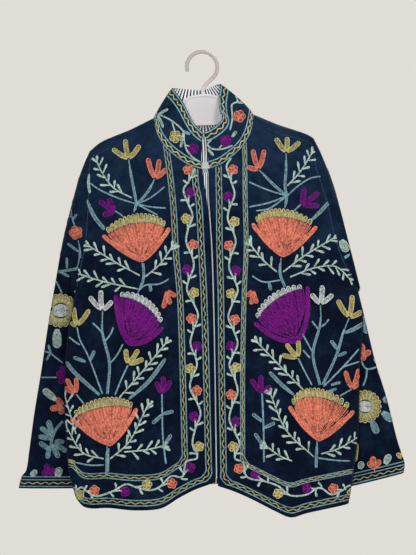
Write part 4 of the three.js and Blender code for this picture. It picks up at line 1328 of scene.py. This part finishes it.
# sleeves
SLEEVE_R = (
    ("line", "teal", 2.0, (71, 208), (72, 217), (75, 227)),
    ("leaf", "teal", 2.2, (73, 220), (77, 213.5)),
    ("leaf", "teal", 2.2, (71, 217), (66.5, 214.5)),
    ("rosette", "coral", 7.2, (76, 232.6)),
    ("stem", "teal", 0, (57, 272), (70, 270), (78, 267), (80, 253), (78, 240)),
    ("leaf", "teal", 2.4, (79, 252), (67, 243)),
    ("leaf", "teal", 2.4, (67, 269), (67, 257)),
    ("leaf", "teal", 2.4, (60, 272), (70, 277)),
    ("line", "teal", 1.9, (56, 281), (62, 293)),
    ("leaf", "sage", 8.0, (57, 329), (57, 348.5)),
    ("line", "teal", 1.8, (63, 363), (55, 357), (50, 353), (43, 351)),
    ("leaf", "teal", 2.2, (51, 353), (48, 344)),
    ("leaf", "teal", 2.2, (50, 354), (46, 361)),
    ("tulip", "purple", 6.0, (64, 377), (57, 372), (59, 383), (63, 366)),
    ("line", "teal", 1.5, (39, 377.4), (57, 377.4)),
    ("leaf", "sage", 6.5, (56, 400), (43, 389)),
    ("tulip", "coral", 5.6, (63, 406), (50.5, 408.5), (57, 398), (60, 414)),
    ("stem", "teal", 0, (63, 421), (54, 433), (48, 457)),
    ("leaf", "teal", 5.2, (52, 433), (48, 420)),
    ("leaf", "teal", 4.6, (52, 436), (40, 427)),
    ("leaf", "teal", 4.6, (51, 439), (38, 436)),
    ("leaf", "teal", 4.6, (50, 450), (39, 442)),
    ("leaf", "teal", 4.6, (50, 446), (47, 459)),
    ("leaf", "teal", 5.0, (52, 444), (59, 458)),
    ("leaf", "teal", 4.6, (54, 443), (67, 452)),
    ("leaf", "teal", 4.4, (55, 441), (65, 442)),
    ("leaf", "sage", 5.5, (31, 476), (37, 470)),
    ("tulip", "purple", 5.5, (48, 475), (42.5, 471), (47, 464), (54, 468)),
    ("leaf", "sage", 7.0, (57, 477), (60, 467)),
)
SLEEVE_L = (
    ("leaf", "sage", 8.0, (341, 240), (347.5, 252)),
    ("leaf", "aqua", 2.6, (343, 259), (350, 254)),
    ("leaf", "teal", 8.0, (366, 313), (367, 334)),
    ("tulip", "coral", 5.6, (361, 356), (362, 344), (370.5, 351), (366, 359)),
    ("line", "teal", 2.0, (361, 361), (367, 369), (380, 366)),
    ("line", "teal", 2.0, (367, 369), (366, 378), (363, 386)),
    ("leaf", "teal", 5.6, (379, 365), (375, 356)),
    ("leaf", "teal", 5.2, (379.5, 366), (381, 376)),
    ("leaf", "teal", 6.5, (383, 401), (391, 398)),
    ("leaf", "teal", 7.0, (382, 412), (393, 421)),
    ("leaf", "teal", 6.5, (372, 421), (377.5, 434)),
    ("leaf", "yellow", 4.4, (357, 444), (354.5, 462)),
    ("leaf", "sage", 6.0, (360, 469), (362, 461)),
    ("tulip", "coral", 5.6, (374, 467), (368, 462), (373, 456.5), (380, 460)),
    ("line", "coral", 1.2, (374, 467), (375, 473)),
    ("leaf", "sage", 6.5, (385, 464), (390, 454)),
    ("tulip", "yellow", 4.4, (402, 458), (397, 453), (403, 450)),
)


def sunflower(pen, c, r, eye, squash=1.0):
    """A big rosette: a ring of short loops round a grey centre."""
    c = np.array(c, float)
    for d in ring(21)[:-1] * (squash, 1):
        pts = c + d * eye * 0.95, c + d * (eye + r) / 2, c + d * r
        pen.lobe("gold", 5.4, *pts, lift=0.15, blunt=0.5, tail=0.75)
    for k in range(int(eye / ROW)):
        q = eye - ROW * (k + 0.6)
        if q > 0.5:
            pen.row(c + ring(max(7, int(q * 4))) * (q * squash, q * 0.82), "grey", ROW * 0.95, lift=0.3)


for view in ("eye", "behind"):
    right, left = Pen("sleeve_right", view), Pen("sleeve_left", view)
    right.draw(SLEEVE_R)
    sunflower(right, (60.5, 310.5), 17.5, 8.0, 1.08)
    left.draw(SLEEVE_L)
    sunflower(left, (365, 406.5), 17.0, 7.0)
for label in ("sleeve_right", "sleeve_left"):
    for away, width in ((3.0, 1.3), (15.0, 1.2), (20.5, 1.2)):
        edge_row(label, away, "teal", width)
    edge_row(label, 9.0, "yellow_deep", 1.1, 1.4, 15, lift=0.1)

# down the outside of both sleeves, a little behind the fold: depth, drop from the hook (drawing units)
SLEEVE_OUTSIDE = (
    ("tulip", "yellow", 4.6, (8.6, 130), (3, 119), (9, 114), (15, 120)),
    ("stem", "teal", 0, (11, 190), (9.5, 160), (8.6, 131)),
    ("leaf", "sage", 3.2, (9.4, 150), (3.5, 141)),
    ("leaf", "sage", 3.2, (9.5, 157), (16, 148)),
    ("leaf", "sage", 3.2, (9.8, 168), (4, 160)),
    ("leaf", "sage", 3.2, (10.2, 176), (17, 168)),
    ("rosette", "coral", 6.0, (11.6, 196)),
)
ELBOW_TWIG = (
    ("stem", "teal", 0, (17, 260), (14.5, 229), (12, 203)),
    ("leaf", "teal", 3.4, (13.4, 220), (7.5, 211)),
    ("leaf", "teal", 3.4, (14.2, 227), (21, 218)),
    ("leaf", "sage", 3.2, (15.4, 242), (11, 235)),
    ("leaf", "sage", 3.2, (16, 250), (24, 242)),
)


def from_beside(p):
    return np.stack([p[:, 0], -p[:, 1]], 1) * UNIT


Pen("sleeve_right", "outside", from_beside).draw(SLEEVE_OUTSIDE)
Pen("sleeve_left", "outside", from_beside).draw(SLEEVE_OUTSIDE, ELBOW_TWIG)

# the back: the fronts' motifs on either side of a middle column, and the same bands at the hem
BACK_MIDDLE = (
    ("tulip", "yellow", 4.8, (207, 160), (195, 149), (207, 140), (219, 149)),
    ("stem", "teal", 0, (208, 200), (206, 180), (207, 161)),
    ("line", "teal", 0, (208, 200), (196, 190), (186, 178)),
    ("line", "teal", 0, (208, 200), (220, 190), (230, 178)),
    ("leaf", "teal", 3.0, (200, 193), (188, 194)),
    ("leaf", "teal", 3.0, (216, 193), (229, 195)),
    ("fan", "purple", 11, (186, 228), (230, 227), (208, 256), (208, 216), (208, 208), "grey", 1.35),
    ("stem", "sage", 0, (209, 300), (206, 278), (208, 257)),
    ("sprig", "sage", 0.2, (208, 272), (196, 266), (184, 250)),
    ("sprig", "sage", 0.2, (208, 278), (222, 270), (233, 252)),
    ("tulip", "coral", 4.6, (196, 296), (186, 290), (192, 281), (203, 287)),
    ("tulip", "coral", 4.6, (223, 298), (214, 289), (225, 283), (234, 291)),
    ("line", "teal", 0, (209, 310), (201, 305), (196, 297)),
    ("line", "teal", 0, (209, 310), (217, 306), (223, 299)),
    ("stem", "teal", 0, (209, 330), (209, 312)),
    ("fan", "coral", 15, (181, 348), (238, 347), (209, 378), (209, 337), (209, 327), "gold"),
    ("stem", "sage", 0, (211, 458), (208, 415), (209, 379)),
    ("sprig", "sage", 0.15, (209, 396), (197, 388), (187, 370)),
    ("sprig", "sage", 0.15, (209, 402), (222, 392), (232, 372)),
    ("tulip", "purple", 4.8, (193, 424), (183, 414), (192, 409), (201, 415)),
    ("line", "teal", 0, (209, 440), (199, 434), (193, 425)),
    ("tulip", "purple", 4.8, (226, 425), (217, 414), (227, 409), (236, 416)),
    ("line", "teal", 0, (209, 440), (220, 434), (226, 426)),
    ("sprig", "sage", 0.15, (211, 455), (198, 452), (184, 446)),
    ("sprig", "sage", 0.15, (211, 455), (226, 452), (240, 444)),
)
rear = Pen("back", "behind")
rear.draw(PANEL_RIGHT, PANEL_LEFT, BACK_MIDDLE)
for away in (7.2, 17, 51, 61):
    edge_row("back", away, "teal", 1.2)
for away in (12.1, 56):
    edge_row("back", away, "yellow_deep", 1.15, 1.6, 13.5, lift=0.1)
HEM_FLOWERS = []
for k, X in enumerate(np.arange(-222, 226, 40.0)):
    at = drawn(X, float(hem_back(X)) + 34 + (4 if k % 2 else -3))
    HEM_FLOWERS.append((("coral", "yellow", "purple")[k % 3], float(at[0]), float(at[1])))
vine(rear, HEM_FLOWERS, (66, 482), (346, 478))


SEWN = {}
for (zone, colour), parts in STITCHES.items():
    verts, faces, uvs = zip(*parts)
    starts = np.cumsum([0] + [len(v) for v in verts])
    joined = np.vstack([f + start for f, start in zip(faces, starts)])
    obj = make_mesh(f"stitch_{zone}_{colour}", np.vstack(verts), joined, np.vstack(uvs))
    obj.data.materials.append(THREAD_MATS[colour])
    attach(obj, "root")
    SEWN.setdefault(zone, []).append(obj)

# cut sizes: width, length and flat area, in metres; what each hangs from
SHEETS = (
    (VELVETS["front_right"], "front_right", "velvet", (0.29, 0.71), 0.158, ["hanger"]),
    (VELVETS["front_left"], "front_left", "velvet", (0.29, 0.73), 0.163, ["hanger"]),
    (VELVETS["back"], "back", "velvet", (0.57, 0.70), 0.33, ["hanger"]),
    (VELVETS["sleeve_right"], "sleeve_right", "velvet", (0.46, 0.60), 0.11, ["front_right", "back"]),
    (VELVETS["sleeve_left"], "sleeve_left", "velvet", (0.46, 0.60), 0.11, ["front_left", "back"]),
    (VELVETS["collar"], "collar", "velvet", (0.44, 0.075), 0.03, ["front_right", "front_left", "back"]),
    (back_lining, "back_lining", "striped_lining", (0.54, 0.66), 0.29, ["back"]),
    (collar_lining, "collar_lining", "striped_lining", (0.44, 0.075), 0.03, ["collar"]),
    (front_strip, None, "striped_lining", (0.016, 0.6), None, ["front_left"]),
)
for obj, node, slot, flat, area, holders in SHEETS:
    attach(obj, "root")
    if node:
        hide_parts(node)
    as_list(holders)

# ------------------------------------------------------------------ hanger and clasp
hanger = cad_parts["hanger"]
hanger.data.materials.clear()
hanger.data.materials.append(PLASTIC)
# the raised rim round the upper half of the hanger's plate
RIM_PATH = ((19, -75.5), (25, -77.5), (28.3, -81), (29.8, -88), (31.5, -100), (34, -122))
RIM_Y, RIM_WIDE, RIM_DEEP, RIM_SIDES = -1.7, 1.7, 1.6, 12
for sign in (-1, 1):
    path = through([(sign * x, RIM_Y, z) for x, z in RIM_PATH], 1.5)
    across = unit(np.cross(np.gradient(path, axis=0), (0, 1, 0)))
    turn = np.linspace(0, 2 * math.pi, RIM_SIDES, endpoint=False)[:, None, None]
    tube = path + across * np.cos(turn) * RIM_WIDE + np.array([0, 1.0, 0]) * np.sin(turn) * RIM_DEEP
    idx = np.arange(RIM_SIDES * len(path)).reshape(RIM_SIDES, len(path))
    nxt = np.roll(idx, -1, 0)
    faces = np.stack([idx[:, :-1], idx[:, 1:], nxt[:, 1:], nxt[:, :-1]], -1).reshape(-1, 4)
    rib = make_mesh("hanger_rib_" + ("right" if sign < 0 else "left"), tube.reshape(-1, 3), faces)
    rib.data.materials.append(PLASTIC)
    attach(rib, "root")
for label in ("clasp_hook", "clasp_bar"):
    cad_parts[label].data.materials.clear()
    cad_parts[label].data.materials.append(METAL)

# ------------------------------------------------------------------ stage, light and camera
bpy.ops.mesh.primitive_plane_add(size=3.2, location=(0, 0, -1.3))
floor = bpy.context.object
floor.name = "floor"
floor.data.materials.append(Look("backdrop", (0.78, 0.74, 0.68), 0.9).material)

world = bpy.data.worlds.new("studio")
bpy.context.scene.world = world
world.use_nodes = True
wn, wl = world.node_tree.nodes, world.node_tree.links
seen = wn["Background"]
seen.inputs[0].default_value = (0.745, 0.725, 0.675, 1)
lit = wn.new("ShaderNodeBackground")
lit.inputs[0].default_value = (0.93, 0.97, 1.0, 1)
lit.inputs[1].default_value = 0.34
either, path = wn.new("ShaderNodeMixShader"), wn.new("ShaderNodeLightPath")
wl.new(path.outputs["Is Camera Ray"], either.inputs[0])
wl.new(lit.outputs[0], either.inputs[1])
wl.new(seen.outputs[0], either.inputs[2])
wl.new(either.outputs[0], wn["World Output"].inputs[0])
bpy.context.scene.view_settings.view_transform = "Standard"


JACKET = (0, 0, -0.4)  # every lamp points at its middle


def area_light(name, place, size, power, colour=(1, 1, 1)):
    data = bpy.data.lights.new(name, "AREA")
    data.shape = "DISK"
    data.size = size
    data.energy = power
    data.color = colour
    obj = bpy.data.objects.new(name, data)
    obj.location = place
    obj.rotation_mode = "QUATERNION"
    obj.rotation_quaternion = (Vector(JACKET) - Vector(place)).to_track_quat("-Z", "Y")
    bpy.context.scene.collection.objects.link(obj)


# name, place and disk's size in metres, power in watts, colour
area_light("key", (1.1, -2.3, 1.5), 0.9, 36, (1.0, 0.985, 0.96))
area_light("fill", (-0.15, -3.4, -0.1), 0.5, 58, (0.95, 0.98, 1.0))
area_light("side_left", (3.0, -0.4, 0.2), 1.2, 14)
area_light("side_right", (-3.0, -0.4, 0.2), 1.2, 14)
area_light("back_key", (0.9, 2.2, 1.3), 1.0, 60)
area_light("back_fill", (-1.3, 2.3, 0.2), 1.4, 20)

cam_data = bpy.data.cameras.new("camera")
cam = bpy.data.objects.new("camera", cam_data)
bpy.context.scene.collection.objects.link(cam)
cam_data.sensor_width = 36
cam_data.lens = 36 * EYE_BACK / (DRAW_HEIGHT * UNIT)
cam_data.clip_start, cam_data.clip_end = 0.05, 100
c, s = math.cos(TILT), math.sin(TILT)
cam.matrix_world = Matrix((
    (c, s, 0, EYE[0] / 1000), (0, 0, -1, EYE[1] / 1000), (-s, c, 0, EYE[2] / 1000), (0, 0, 0, 1)
))
bpy.context.scene.camera = cam
